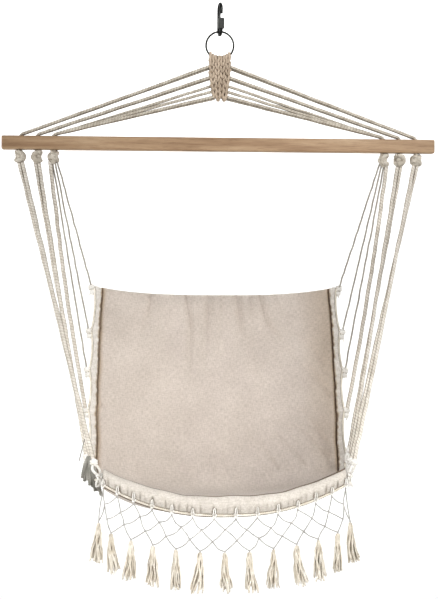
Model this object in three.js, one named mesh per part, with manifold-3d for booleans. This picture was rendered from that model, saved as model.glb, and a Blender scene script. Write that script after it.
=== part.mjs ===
// A hanging hammock chair: link and ring, macrame neck, bridle cords, wooden bar, suspension
// cords, padded seat, and a net fringe with tassels under the front edge.
// Millimetres, +Z up, the seat faces -Y. The origin is where the link rests on its hook.
import * as THREE from "three";
import { mergeVertices } from "three/addons/utils/BufferGeometryUtils.js";
import Module from "manifold-3d";

const wasm = await Module();
wasm.setup();

// Left open between pieces that touch
const GAP = 0.3;
const WELD = 0.001;
const SIDES = [-1, 1];

// Quick link, a bent bar in an upright plane turned a little from YZ, with its sleeve nut on the
// front leg
const LINK_TURN = THREE.MathUtils.degToRad(8);
const LINK_BAR = 8;
const LINK_BOW = 13.5;
const LINK_TOP_BOW_Z = -9.5;
const LINK_LOW_BOW_Z = -49.5;
const LINK_GAP_TOP_Z = -19;
const LINK_GAP_LOW_Z = -29;
const LINK_SIDES = 8;
const BOW_STEPS = 9;
const NUT_FLATS = 13;
const NUT_BORE = 9;
const NUT_LENGTH = 22.5;
const NUT_TOP_Z = -29.5;
const NUT_BORE_SIDES = 16;

// Ring in the XZ plane, resting on the link's lower bow
const RING_WIRE = 4.4;
const RING_RADIUS = 30.3;
const RING_STEPS = 30;
const RING_SIDES = 8;
const LINK_REST_Z = LINK_LOW_BOW_Z - LINK_BOW + LINK_BAR / 2;
const RING_CENTRE_Z = LINK_REST_Z + GAP + RING_WIRE / 2 - RING_RADIUS;

// Macrame neck, columns of plaited lobes looped over the ring
const NECK_COLUMNS = 4;
const NECK_PITCH = 12.5;
const NECK_LOW_PITCH = 8;
const NECK_TAPER_Z = -168;
const NECK_LOW_Z = -205;
const NECK_TOP_Z = -107;
const NECK_EDGE_RISE = 5;
const NECK_LOBE = 7.6;
const NECK_WAIST = 6.4;
const NECK_TIP = 4;
const NECK_TIP_LENGTH = 2;
const NECK_LOBES = 8;
const NECK_SIDES = 6;
const NECK_LOOSE = 0.6;

// Spreader bar
const BAR_LENGTH = 950;
const BAR_DEPTH = 24;
const BAR_HEIGHT = 30;
const BAR_TOP_Z = -290;
const BAR_CORNER = 4;
const BAR_END = 3;
const BAR_CURVE_STEPS = 2;
const HOLE_RADIUS = 7.6;
const HOLE_SIDES = 12;

// Cords, and the three holes on each side that they run through
const CORD = 5.6;
const CORD_SIDES = 6;
const CORD_SPACING = 6;
const MOUTH_BACK = 5.2;
const MOUTH_RISE = 5;
const MOUTH_TURN = 2;
const MOUTH_DROP = 2.5;
const HOLE_INSET = 40;
const HOLE_PITCH = 36;
// Each cord leaves the neck at a share of its half width and of its height
const NECK_OUT = 26.7;
const HOLES = [
  { name: "outer", shares: [[1, 0.25], [1, 0.28]] },
  { name: "middle", shares: [[1, 0.5], [1, 0.52]] },
  { name: "inner", shares: [[0.955, 0.694], [0.87, 0.827], [0.787, 0.944], [0.787, 0.98]] },
];

// Stopper knots under the bar: two tilted turns of cord over a short end
const KNOT_TURN = 8.2;
const KNOT_CORD = 5.2;
const KNOT_STEPS = 10;
const KNOT_SIDES = 6;
const KNOT_TILT = THREE.MathUtils.degToRad(28);
const KNOT_UPPER_DROP = 9.5;
const KNOT_LOWER_DROP = 19;
const KNOT_END_RADIUS = 11;
const KNOT_END_HEIGHT = 7;
const KNOT_HEIGHT = 29;
const KNOT_FILL = 7;

// Cords that the seat hangs on, from the axis under the knots; some are thin
const HANG_CORD = 7;
const THIN_SHARE = 0.5;
const HINGE_Z = BAR_TOP_Z - BAR_HEIGHT - GAP - KNOT_HEIGHT - GAP - HANG_CORD / 2;

// Seat: half its width, its reach forward and how deep it hangs
const SEAT_HALF = 286;
const SEAT_REACH = 290;
const SEAT_DROP = 1020;
const SEAT_SHIFT = -41.7;

// Right side edge of the pad, from the back's top corner down and forward to the front corner,
// as shares of the half width, the reach and the drop
const SIDE_EDGE_SHARES = [
  [0.979, 0.707, 0.606],
  [0.993, 0.586, 0.704],
  [1, 0.472, 0.789],
  [1, 0.355, 0.8755],
  [0.995, 0.248, 0.941],
  [0.985, 0.103, 0.988],
  [0.945, -0.207, 1],
  [0.887, -0.621, 0.99],
  [0.829, -1, 0.9686],
];

// Pad: sag of its middle below the line between the side edges, at each point of the edge
const PAD_SAGS = [45, 55, 62, 70, 76, 74, 60, 50, 50];
const PAD_SAG_POWERS = [3.5, 3.5, 3.5, 3.5, 3.5, 3.5, 3.2, 2.6, 2.3];
const PAD_THICK = 30;
const PAD_RIM_THICK = 8;
const PAD_TOP_THICK = 20;
const PAD_FRONT_THICK = 20;
const PAD_LENGTH_STEPS = 20;
const PAD_TOP_DIP = 5;
const PAD_DIP_SHARE = 0.35;
const PAD_CREASE_SHARE = 0.93;
const PAD_CREASE_DEPTH_SHARE = 0.5;
const PAD_WING_SHARE = 0.5;
const PAD_CUSHION_SHARES = [1, 0.984, 0.94, 0.875];
const PAD_INNER_SHARE = 0.72;
const PAD_INNER_COLUMNS = 15;
const PAD_CROWN_POWER = 8;
const PAD_FOLD = 3;
const PAD_FOLDS = 5;
const PAD_FOLD_SHARE = 0.55;

// Gathered roll of the sling along the front edge, scalloped between the edge cord's knots
const EDGE_KNOTS = 14;
const FRONT_INSET = 3;
const FRONT_POWER = 2.3;
const FRONT_BEND = 0.93;
const ROLL_TOP_RISE = 16;
const ROLL_TOP_SAG = 52;
const ROLL_LOW_DROP = 9;
const ROLL_LOW_SAG = 58;
const ROLL_DEPTH = 18;
const ROLL_PUCKER = 3.5;
const ROLL_STEPS_PER_SCALLOP = 4;
const ROLL_SIDES = 8;

// Edge cords, their knots, and the loops that tie the suspension cords to the side edges
const EDGE_CORD = 7;
const EDGE_KNOT = 7.5;
const CORNER_KNOT = 9;
const FRONT_CORD = 5;
const FRONT_KNOT = 9;
const FRONT_CORD_SIDES = 6;
const LOOP_CORD = 3;
const LOOP_SPREAD = 4;
const LOOP_SIDES = 5;
const CORD_STEPS = 4;
// Where each cord starts in its row, its thickness, and the shares of its knot's place; bows are
// shares of SEAT_HALF
const TIES = [
  { hole: "inner", place: -1.4, width: THIN_SHARE, shares: [0.979, 0.707, 0.606], loops: 0, bow: 0 },
  { hole: "inner", place: -0.55, width: THIN_SHARE, shares: [0.993, 0.586, 0.704], loops: 0, bow: 0 },
  { hole: "inner", place: 0.3, width: THIN_SHARE, shares: [1, 0.472, 0.789], loops: 0, bow: 0 },
  { hole: "inner", place: 1.35, width: 1, shares: [1, 0.355, 0.8755], loops: 0, bow: 0 },
  { hole: "middle", place: -0.65, width: 1, shares: [0.9825, 0.138, 0.956], loops: 2, bow: 0 },
  { hole: "middle", place: 0.65, width: 1, shares: [0.965, -0.052, 0.964], loops: 2, bow: 0.012 },
  { hole: "outer", place: -0.65, width: 1, shares: [0.9, -0.517, 0.957], loops: 2, bow: 0 },
  { hole: "outer", place: 0.65, width: 1, shares: [0.86, -0.959, 0.943], loops: 2, bow: 0.028 },
];

// Net and tassels
const NET_CORD = 2.2;
const NET_SIDES = 4;
const NET_KNOT = 6;
const NET_ROWS = 3;
const NET_DROP = 21;
const NET_FLARE_SHARE = 0.05;
const TASSEL_LENGTH = 77;
const TASSEL_SIDES = 8;
const TASSEL_OUT = 9;
const TASSEL_RADII = [2, 4.2, 4.6, 3.4, 6.5, 9.5, 12];
const TASSEL_SHARES = [0, 0.05, 0.11, 0.17, 0.35, 0.68, 1];

const COLORS = {
  steel: 0x6f7275,
  braid: 0xb79f7d,
  cord: 0xdcd5c8,
  wood: 0xb8987a,
  canvas: 0xd7cbbe,
  cotton: 0xe6ddcb,
};

const vector = (x, y, z) => new THREE.Vector3(x, y, z);
const mix = (a, b, share) => a + (b - a) * share;

// A closed surface from its corner points and triangles
function surface(points, faces) {
  const geometry = new THREE.BufferGeometry();
  geometry.setFromPoints(points);
  geometry.setIndex(faces.flat());
  return geometry;
}

// A solid that other solids can be joined to or cut from
function solid(geometry) {
  const bare = geometry.clone();
  bare.deleteAttribute("normal");
  bare.deleteAttribute("uv");
  const merged = mergeVertices(bare, WELD);
  return new wasm.Manifold(
    new wasm.Mesh({
      numProp: 3,
      vertProperties: new Float32Array(merged.attributes.position.array),
      triVerts: new Uint32Array(merged.index.array),
    }),
  );
}

function geometryOf(shape) {
  const made = shape.getMesh();
  const geometry = new THREE.BufferGeometry();
  geometry.setAttribute(
    "position",
    new THREE.BufferAttribute(new Float32Array(made.vertProperties), made.numProp),
  );
  geometry.setIndex(new THREE.BufferAttribute(new Uint32Array(made.triVerts), 1));
  return geometry;
}

const joined = (solids) => solids.reduce((all, next) => all.add(next));

// A round bar through stations of a place and a radius, closed by a flat cap at each end
function sweep(stations, sides) {
  const points = [];
  const faces = [];
  const last = stations.length - 1;
  let across = vector(0, 1, 0);
  stations.forEach(({ at, radius }, i) => {
    const before = stations[Math.max(i - 1, 0)].at;
    const after = stations[Math.min(i + 1, last)].at;
    const along = after.clone().sub(before).normalize();
    across = across.clone().addScaledVector(along, -across.dot(along));
    if (across.lengthSq() < WELD) across = vector(1, 0, 0).addScaledVector(along, -along.x);
    across.normalize();
    const up = along.clone().cross(across);
    for (let j = 0; j < sides; j++) {
      const turn = (2 * Math.PI * j) / sides;
      const point = at.clone().addScaledVector(across, radius * Math.cos(turn));
      points.push(point.addScaledVector(up, radius * Math.sin(turn)));
    }
  });
  for (let i = 0; i < last; i++) {
    for (let j = 0; j < sides; j++) {
      const [a, b] = [i * sides + j, i * sides + ((j + 1) % sides)];
      faces.push([a, b, b + sides], [a, b + sides, a + sides]);
    }
  }
  points.push(stations[0].at, stations[last].at);
  for (let j = 0; j < sides; j++) {
    const k = (j + 1) % sides;
    faces.push([points.length - 2, k, j]);
    faces.push([points.length - 1, last * sides + j, last * sides + k]);
  }
  return surface(points, faces);
}

const bar = (places, radius, sides) =>
  sweep(places.map((at) => ({ at, radius })), sides);

// A cord with a rounded upper end whose centre is its first place
function roundedCord(places, radius, sides) {
  const back = places[0].clone().sub(places[1]).normalize();
  const shoulder = Math.PI / 4;
  const tip = places[0].clone().addScaledVector(back, radius);
  const rise = places[0].clone().addScaledVector(back, radius * Math.sin(shoulder));
  const stations = [
    { at: tip, radius: radius * Math.cos(shoulder) ** 3 },
    { at: rise, radius: radius * Math.cos(shoulder) },
    ...places.map((at) => ({ at, radius })),
  ];
  return sweep(stations, sides);
}

// A knot as a small ball
function ball(at, radius) {
  const geometry = new THREE.OctahedronGeometry(radius, 1);
  geometry.translate(at.x, at.y, at.z);
  return geometry;
}

function stud(at, radius) {
  const geometry = new THREE.OctahedronGeometry(radius);
  geometry.translate(at.x, at.y, at.z);
  return geometry;
}

const root = new THREE.Group();

function add(name, geometry, color, finish = {}) {
  const material = new THREE.MeshStandardMaterial({ color, ...finish });
  const mesh = new THREE.Mesh(geometry, material);
  mesh.name = name;
  root.add(mesh);
}

// Link, nut and ring
const METAL = { metalness: 1, roughness: 0.4 };

function linkPath() {
  const path = [vector(0, -LINK_BOW, LINK_GAP_LOW_Z)];
  for (let i = 0; i <= BOW_STEPS; i++) {
    const turn = Math.PI + (Math.PI * i) / BOW_STEPS;
    path.push(vector(0, LINK_BOW * Math.cos(turn), LINK_LOW_BOW_Z + LINK_BOW * Math.sin(turn)));
  }
  for (let i = 0; i <= BOW_STEPS; i++) {
    const turn = (Math.PI * i) / BOW_STEPS;
    path.push(vector(0, LINK_BOW * Math.cos(turn), LINK_TOP_BOW_Z + LINK_BOW * Math.sin(turn)));
  }
  path.push(vector(0, -LINK_BOW, LINK_GAP_TOP_Z));
  return path.map((place) => place.applyAxisAngle(vector(0, 0, 1), LINK_TURN));
}

function ringPoints(radius, sides) {
  return Array.from({ length: sides }, (_, i) => {
    const turn = (2 * Math.PI * i) / sides;
    return new THREE.Vector2(radius * Math.cos(turn), radius * Math.sin(turn));
  });
}

function nut() {
  const corner = NUT_FLATS / 2 / Math.cos(Math.PI / 6);
  const shape = new THREE.Shape(ringPoints(corner, 6));
  shape.holes.push(new THREE.Path(ringPoints(NUT_BORE / 2, NUT_BORE_SIDES).reverse()));
  const geometry = new THREE.ExtrudeGeometry(shape, { depth: NUT_LENGTH, bevelEnabled: false });
  geometry.translate(0, -LINK_BOW, NUT_TOP_Z - NUT_LENGTH);
  geometry.rotateZ(LINK_TURN);
  return geometry;
}

function ring(wire) {
  const geometry = new THREE.TorusGeometry(RING_RADIUS, wire / 2, RING_SIDES, RING_STEPS);
  geometry.rotateX(Math.PI / 2);
  geometry.translate(0, 0, RING_CENTRE_Z);
  return geometry;
}

add("quick_link", bar(linkPath(), LINK_BAR / 2, LINK_SIDES), COLORS.steel, METAL);
add("link_nut", nut(), COLORS.steel, METAL);
add("ring", ring(RING_WIRE), COLORS.steel, METAL);

// Macrame neck
function neckColumn(column) {
  const place = column - (NECK_COLUMNS - 1) / 2;
  const isEdge = column === 0 || column === NECK_COLUMNS - 1;
  const top = NECK_TOP_Z + (isEdge ? NECK_EDGE_RISE : 0);
  const steps = 2 * NECK_LOBES;
  const stations = [];
  for (let i = 0; i <= steps; i++) {
    const z = mix(top - NECK_TIP_LENGTH, NECK_LOW_Z + NECK_TIP_LENGTH, i / steps);
    const taper = Math.max(0, (NECK_TAPER_Z - z) / (NECK_TAPER_Z - NECK_LOW_Z));
    const isLobe = (i + column) % 2 === 0;
    const at = vector(place * mix(NECK_PITCH, NECK_LOW_PITCH, taper), 0, z);
    stations.push({ at, radius: isLobe ? NECK_LOBE : NECK_WAIST });
  }
  const first = stations[0].at.clone().setZ(top);
  const end = stations[steps].at.clone().setZ(NECK_LOW_Z);
  stations.unshift({ at: first, radius: NECK_TIP });
  stations.push({ at: end, radius: NECK_TIP });
  return solid(sweep(stations, NECK_SIDES));
}

function neck() {
  const columns = Array.from({ length: NECK_COLUMNS }, (_, i) => neckColumn(i));
  return joined(columns).subtract(solid(ring(RING_WIRE + 2 * NECK_LOOSE)));
}

add("macrame_neck", geometryOf(neck()), COLORS.braid);

// Spreader bar
const holeX = (group) => BAR_LENGTH / 2 - HOLE_INSET - HOLES.indexOf(group) * HOLE_PITCH;

function barShape() {
  const [y, z] = [BAR_DEPTH / 2 - BAR_END, BAR_HEIGHT / 2 - BAR_END];
  const corner = BAR_CORNER - BAR_END;
  const shape = new THREE.Shape();
  shape.absarc(y - corner, z - corner, corner, 0, Math.PI / 2);
  shape.absarc(corner - y, z - corner, corner, Math.PI / 2, Math.PI);
  shape.absarc(corner - y, corner - z, corner, Math.PI, 1.5 * Math.PI);
  shape.absarc(y - corner, corner - z, corner, 1.5 * Math.PI, 2 * Math.PI);
  return shape;
}

function hole(x) {
  const depth = 2 * BAR_HEIGHT;
  const geometry = new THREE.CylinderGeometry(HOLE_RADIUS, HOLE_RADIUS, depth, HOLE_SIDES);
  geometry.rotateX(Math.PI / 2);
  geometry.translate(x, 0, BAR_TOP_Z - BAR_HEIGHT / 2);
  return solid(geometry);
}

function spreaderBar() {
  const length = BAR_LENGTH - 2 * BAR_END;
  const plain = new THREE.ExtrudeGeometry(barShape(), {
    depth: length,
    bevelSize: BAR_END,
    bevelThickness: BAR_END,
    bevelSegments: BAR_CURVE_STEPS,
    curveSegments: BAR_CURVE_STEPS,
  });
  plain.translate(0, 0, -length / 2);
  plain.rotateX(Math.PI / 2);
  plain.rotateZ(Math.PI / 2);
  plain.translate(0, 0, BAR_TOP_Z - BAR_HEIGHT / 2);
  const holes = HOLES.flatMap((group) => SIDES.map((side) => hole(side * holeX(group))));
  return holes.reduce((left, cut) => left.subtract(cut), solid(plain));
}

add("spreader_bar", geometryOf(spreaderBar()), COLORS.wood);

// Bridle cords: each group runs through one hole and ends in a stopper knot under the bar
function spots(count) {
  const half = CORD_SPACING / 2;
  if (count === 2) return [[0, -half], [0, half]];
  return [[half, half], [half, -half], [-half, -half], [-half, half]];
}

function bridleCord(side, x, [outShare, downShare], [alongX, y]) {
  const places = [
    vector(side * outShare * NECK_OUT, y, mix(NECK_TOP_Z, NECK_LOW_Z, downShare)),
    vector(side * (x - MOUTH_BACK), y, BAR_TOP_Z + MOUTH_RISE),
    vector(side * (x - MOUTH_TURN), y, BAR_TOP_Z + MOUTH_DROP),
    vector(side * (x + alongX), y, BAR_TOP_Z - HOLE_RADIUS),
    vector(side * (x + alongX), y, BAR_TOP_Z - BAR_HEIGHT - KNOT_FILL),
  ];
  return solid(bar(places, CORD / 2, CORD_SIDES));
}

function knotTurn(x, top, drop, tilt) {
  const geometry = new THREE.TorusGeometry(KNOT_TURN, KNOT_CORD, KNOT_SIDES, KNOT_STEPS);
  geometry.rotateY(tilt);
  geometry.translate(x, 0, top - drop);
  return solid(geometry);
}

function stopperKnot(x) {
  const top = BAR_TOP_Z - BAR_HEIGHT - GAP;
  const low = top - KNOT_HEIGHT;
  const fill = bar([vector(x, 0, top), vector(x, 0, low)], KNOT_FILL, HOLE_SIDES);
  const end = bar(
    [vector(x, 0, low + KNOT_END_HEIGHT), vector(x, 0, low)],
    KNOT_END_RADIUS,
    HOLE_SIDES,
  );
  return joined([
    solid(fill),
    solid(end),
    knotTurn(x, top, KNOT_UPPER_DROP, KNOT_TILT),
    knotTurn(x, top, KNOT_LOWER_DROP, -KNOT_TILT),
  ]);
}

function bridle(side, group) {
  const x = holeX(group);
  const places = spots(group.shares.length);
  const cords = group.shares.map((start, i) => bridleCord(side, x, start, places[i]));
  return joined([...cords, stopperKnot(side * x)]);
}

const sideName = (side) => (side < 0 ? "left" : "right");

for (const side of SIDES) {
  for (const group of HOLES) {
    const name = `bridle_${sideName(side)}_${group.name}`;
    add(name, geometryOf(bridle(side, group)), COLORS.cord);
  }
}

// Suspension cords, from the stopper knots to the knots on the side edges
const seatPlace = ([x, y, z]) =>
  vector(x * SEAT_HALF, y * SEAT_REACH + SEAT_SHIFT, -z * SEAT_DROP);

// The middle of a knot on the edge, just outside the pad
function tiePlace(side, tie) {
  const place = seatPlace(tie.shares);
  return place.setX(side * (place.x + GAP + EDGE_KNOT));
}

function suspensionCord(side, tie) {
  const x = holeX(HOLES.find(({ name }) => name === tie.hole));
  const from = vector(side * (x + tie.place * CORD_SPACING), 0, HINGE_Z);
  const knot = tiePlace(side, tie);
  const back = from.clone().sub(knot).normalize();
  const to = knot.addScaledVector(back, EDGE_KNOT + GAP);
  const steps = tie.bow > 0 ? CORD_STEPS : 1;
  const places = Array.from({ length: steps + 1 }, (_, i) => {
    const out = side * tie.bow * SEAT_HALF * Math.sin((Math.PI * i) / steps);
    return from.clone().lerp(to, i / steps).add(vector(out, 0, 0));
  });
  return roundedCord(places, (tie.width * HANG_CORD) / 2, CORD_SIDES);
}

for (const side of SIDES) {
  TIES.forEach((tie, i) => {
    const name = `suspension_cord_${sideName(side)}_${i + 1}`;
    add(name, suspensionCord(side, tie), COLORS.cord);
  });
}

// Pad
const sideEdge = new THREE.CatmullRomCurve3(SIDE_EDGE_SHARES.map(seatPlace));

// A value of a table with one entry per point of the side edge, at a share of its length
function along(table, share) {
  const place = share * (table.length - 1);
  const before = Math.min(Math.floor(place), table.length - 2);
  return mix(table[before], table[before + 1], place - before);
}

function padShares() {
  const inner = Array.from(
    { length: PAD_INNER_COLUMNS },
    (_, i) => PAD_INNER_SHARE * (1 - (2 * i) / (PAD_INNER_COLUMNS - 1)),
  );
  const cushion = PAD_CUSHION_SHARES.map((share) => share * PAD_CREASE_SHARE);
  const outer = [1, mix(PAD_CREASE_SHARE, 1, PAD_WING_SHARE), ...cushion];
  return [...outer, ...inner, ...outer.map((share) => -share).reverse()];
}

function padThickness(share, across) {
  const ends = share === 0 ? PAD_TOP_THICK : share === 1 ? PAD_FRONT_THICK : PAD_THICK;
  const inside = Math.min(1, Math.abs(across) / PAD_CREASE_SHARE);
  const crown = Math.sqrt(1 - inside ** PAD_CROWN_POWER);
  const isCrease = Math.abs(across) === PAD_CREASE_SHARE;
  return mix(PAD_RIM_THICK, ends, crown) * (isCrease ? PAD_CREASE_DEPTH_SHARE : 1);
}

function padPoint(share, across, face) {
  const edge = sideEdge.getPoint(share);
  const down = sideEdge.getTangent(share).setX(0).normalize();
  const out = vector(0, -down.z, down.y);
  const bow = 1 - Math.abs(across) ** along(PAD_SAG_POWERS, share);
  const fold = Math.cos(across * PAD_FOLDS * 2 * Math.PI) * Math.max(0, 1 - share / PAD_FOLD_SHARE);
  const dip = PAD_TOP_DIP * (1 - across ** 2) * Math.max(0, 1 - share / PAD_DIP_SHARE);
  const sag = along(PAD_SAGS, share) * bow + PAD_FOLD * fold * bow;
  const half = (face * padThickness(share, across)) / 2;
  const point = edge.clone().setX(edge.x * across);
  return point.addScaledVector(out, sag + half).addScaledVector(down, dip);
}

function pad() {
  const shares = padShares();
  const columns = shares.length;
  const rows = PAD_LENGTH_STEPS + 1;
  const points = [];
  const faces = [];
  for (const face of [-1, 1]) {
    for (let i = 0; i < rows; i++) {
      for (const across of shares) {
        points.push(padPoint(i / PAD_LENGTH_STEPS, across, face));
      }
    }
  }
  const end = columns - 1;
  const upper = (i, j) => i * columns + j;
  const lower = (i, j) => (rows + i) * columns + j;
  const quad = (a, b, c, d) => faces.push([a, b, c], [a, c, d]);
  for (let i = 0; i < rows - 1; i++) {
    for (let j = 0; j < end; j++) {
      quad(upper(i, j), upper(i, j + 1), upper(i + 1, j + 1), upper(i + 1, j));
      quad(lower(i, j), lower(i + 1, j), lower(i + 1, j + 1), lower(i, j + 1));
    }
    quad(upper(i, 0), upper(i + 1, 0), lower(i + 1, 0), lower(i, 0));
    quad(upper(i + 1, end), upper(i, end), lower(i, end), lower(i + 1, end));
  }
  for (let j = 0; j < end; j++) {
    quad(upper(0, j + 1), upper(0, j), lower(0, j), lower(0, j + 1));
    quad(upper(rows - 1, j), upper(rows - 1, j + 1), lower(rows - 1, j + 1), lower(rows - 1, j));
  }
  return surface(points, faces);
}

add("pad", pad(), COLORS.canvas);

// Front roll
const frontCorner = sideEdge.getPoint(1);
const frontHalf = frontCorner.x - FRONT_INSET;

// Equal steps along the bent front edge are closer together in front view near its ends
const frontShare = (i, steps) => Math.sin(FRONT_BEND * ((2 * i) / steps - 1)) / Math.sin(FRONT_BEND);
const frontBow = (across) => 1 - Math.abs(across) ** FRONT_POWER;
const frontLow = (across) => frontCorner.z - ROLL_LOW_DROP - ROLL_LOW_SAG * frontBow(across);

// The depth of the roll's middle, just in front of the pad's front rim
function frontDepth(across) {
  const rim = Math.min(...SIDES.map((face) => padPoint(1, across, face).y));
  return rim - GAP - ROLL_DEPTH / 2;
}

function rollSection(across, pucker) {
  const top = frontCorner.z + ROLL_TOP_RISE - ROLL_TOP_SAG * frontBow(across);
  const low = frontLow(across);
  const [middle, half] = [(top - pucker + low) / 2, (top - pucker - low) / 2];
  const flat = Math.cos(Math.PI / ROLL_SIDES);
  const depth = ROLL_DEPTH / 2 - pucker;
  const y = frontDepth(across);
  return Array.from({ length: ROLL_SIDES }, (_, i) => {
    const turn = (2 * Math.PI * (i + 1 / 2)) / ROLL_SIDES;
    const z = middle + (half * Math.sin(turn)) / flat;
    return vector(across * frontHalf, y + depth * Math.cos(turn), z);
  });
}

function frontRoll() {
  const steps = (EDGE_KNOTS - 1) * ROLL_STEPS_PER_SCALLOP;
  const points = [];
  const faces = [];
  for (let i = 0; i <= steps; i++) {
    const scallop = Math.abs(Math.cos((Math.PI * i) / ROLL_STEPS_PER_SCALLOP));
    points.push(...rollSection(frontShare(i, steps), ROLL_PUCKER * scallop));
  }
  for (let i = 0; i < steps; i++) {
    for (let j = 0; j < ROLL_SIDES; j++) {
      const [a, b] = [i * ROLL_SIDES + j, i * ROLL_SIDES + ((j + 1) % ROLL_SIDES)];
      faces.push([a, b, b + ROLL_SIDES], [a, b + ROLL_SIDES, a + ROLL_SIDES]);
    }
  }
  for (let j = 1; j < ROLL_SIDES - 1; j++) {
    const end = steps * ROLL_SIDES;
    faces.push([0, j + 1, j], [end, end + j, end + j + 1]);
  }
  return surface(points, faces);
}

add("front_roll", frontRoll(), COLORS.cotton);

// Side edge cords
function sideCordPath(side) {
  const out = GAP + EDGE_CORD / 2;
  return Array.from({ length: PAD_LENGTH_STEPS + 1 }, (_, i) => {
    const edge = sideEdge.getPoint(i / PAD_LENGTH_STEPS);
    return edge.setX(side * (edge.x + out));
  });
}

// The place on the side edge's outside that is nearest in front view and depth to a knot
function edgeBelow(side, tie) {
  const path = sideCordPath(side);
  const knot = tiePlace(side, tie);
  return path.reduce((best, place) =>
    Math.abs(place.y - knot.y) < Math.abs(best.y - knot.y) ? place : best,
  );
}

function tieLoop(side, tie) {
  const knot = tiePlace(side, tie);
  const foot = edgeBelow(side, tie);
  return SIDES.map((way) => {
    const spread = vector(0, way * LOOP_SPREAD, 0);
    return solid(bar([knot, foot.clone().add(spread)], LOOP_CORD / 2, LOOP_SIDES));
  });
}

function sideCord(side) {
  const path = sideCordPath(side);
  const knots = TIES.map((tie) => solid(ball(tiePlace(side, tie), EDGE_KNOT)));
  const loops = TIES.filter(({ loops }) => loops > 0).flatMap((tie) => tieLoop(side, tie));
  const corner = path[path.length - 1].clone();
  corner.x += side * (CORNER_KNOT - EDGE_CORD / 2);
  const cord = solid(bar(path, EDGE_CORD / 2, CORD_SIDES));
  return joined([cord, ...knots, ...loops, solid(ball(corner, CORNER_KNOT))]);
}

for (const side of SIDES) {
  add(`side_cord_${sideName(side)}`, geometryOf(sideCord(side)), COLORS.cord);
}

// Front edge cord with its row of knots
const frontPlace = (across, drop) =>
  vector(across * frontHalf, frontDepth(across), frontLow(across) - drop);

// How much longer a drop has to be for the same gap where the roll's underside climbs
function frontSteep(across) {
  const climb = ROLL_LOW_SAG * FRONT_POWER * Math.abs(across) ** (FRONT_POWER - 1);
  return Math.hypot(1, climb / frontHalf);
}

function frontKnot(i) {
  const across = frontShare(i, EDGE_KNOTS - 1);
  return frontPlace(across, (GAP + FRONT_KNOT / 2) * frontSteep(across));
}

function frontCord() {
  const stations = [];
  for (let i = 0; i < EDGE_KNOTS; i++) {
    const knot = frontKnot(i);
    const [left, right] = SIDES.map((way) => knot.clone().add(vector(way * FRONT_KNOT / 2, 0, 0)));
    stations.push({ at: left, radius: FRONT_CORD / 2 });
    stations.push({ at: knot, radius: FRONT_KNOT / 2 });
    stations.push({ at: right, radius: FRONT_CORD / 2 });
  }
  return sweep(stations, FRONT_CORD_SIDES);
}

add("front_cord", frontCord(), COLORS.cord);

// Net: three rows of crossings below the knots of the front cord
const lowered = (place, rows) => place.clone().setZ(place.z - rows * NET_DROP);
const netTop = (i) => frontKnot(i).sub(vector(0, 0, FRONT_KNOT / 2 + GAP + NET_KNOT / 2));
const flared = (place, row) => place.clone().setX(place.x * (1 + row * NET_FLARE_SHARE));
const halfway = (a, b) => a.clone().add(b).multiplyScalar(1 / 2);

function netRows() {
  const rows = [Array.from({ length: EDGE_KNOTS }, (_, i) => netTop(i))];
  for (let row = 1; row <= NET_ROWS; row++) {
    const above = rows[row - 1];
    rows.push(above.slice(1).map((place, i) => lowered(halfway(above[i], place), 1)));
  }
  return rows.map((places, row) => places.map((place) => flared(place, row)));
}

function netEnds(rows) {
  const corners = [rows[0][0], rows[0][EDGE_KNOTS - 1]];
  return corners.map((corner, i) => lowered(corner, NET_ROWS).add(vector(SIDES[i] * TASSEL_OUT, 0, 0)));
}

// A cord that runs down through the rows, slanting one way
function netDiagonal(rows, start, way) {
  const places = rows.map((row, i) => row[way < 0 ? start - i : start]);
  return places.filter((place) => place);
}

function net() {
  const rows = netRows();
  const ends = netEnds(rows);
  const lines = SIDES.flatMap((way) =>
    rows[0].map((_, i) => netDiagonal(rows, i, way)).filter((line) => line.length > 1),
  );
  lines.push([rows[0][0], ends[0]], [rows[0][EDGE_KNOTS - 1], ends[1]]);
  lines.push([rows[1][0], ends[0]], [rows[1][rows[1].length - 1], ends[1]]);
  const cords = lines.map((line) => solid(bar(line, NET_CORD / 2, NET_SIDES)));
  const knots = [...rows.flat(), ...ends].map((place) => solid(stud(place, NET_KNOT / 2)));
  return joined([...cords, ...knots]);
}

add("net", geometryOf(net()), COLORS.cord);

// Tassels
function tassel(place) {
  const top = place.z - NET_KNOT / 2 - GAP;
  const stations = TASSEL_SHARES.map((share, i) => ({
    at: vector(place.x, place.y, top - share * TASSEL_LENGTH),
    radius: TASSEL_RADII[i],
  }));
  return sweep(stations, TASSEL_SIDES);
}

const rows = netRows();
const [firstEnd, lastEnd] = netEnds(rows);
[firstEnd, ...rows[NET_ROWS], lastEnd].forEach((place, i) => {
  add(`tassel_${String(i + 1).padStart(2, "0")}`, tassel(place), COLORS.cotton);
});

export default root;
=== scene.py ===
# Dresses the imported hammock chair: ropes with their lay, a plaited neck, worked knots, a sewn
# pad with its folds, a gathered front roll, net and yarn tassels, wood and steel.
# Metres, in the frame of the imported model.
import bpy
import math
import random
import numpy as np
from mathutils import Matrix, Vector


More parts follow.
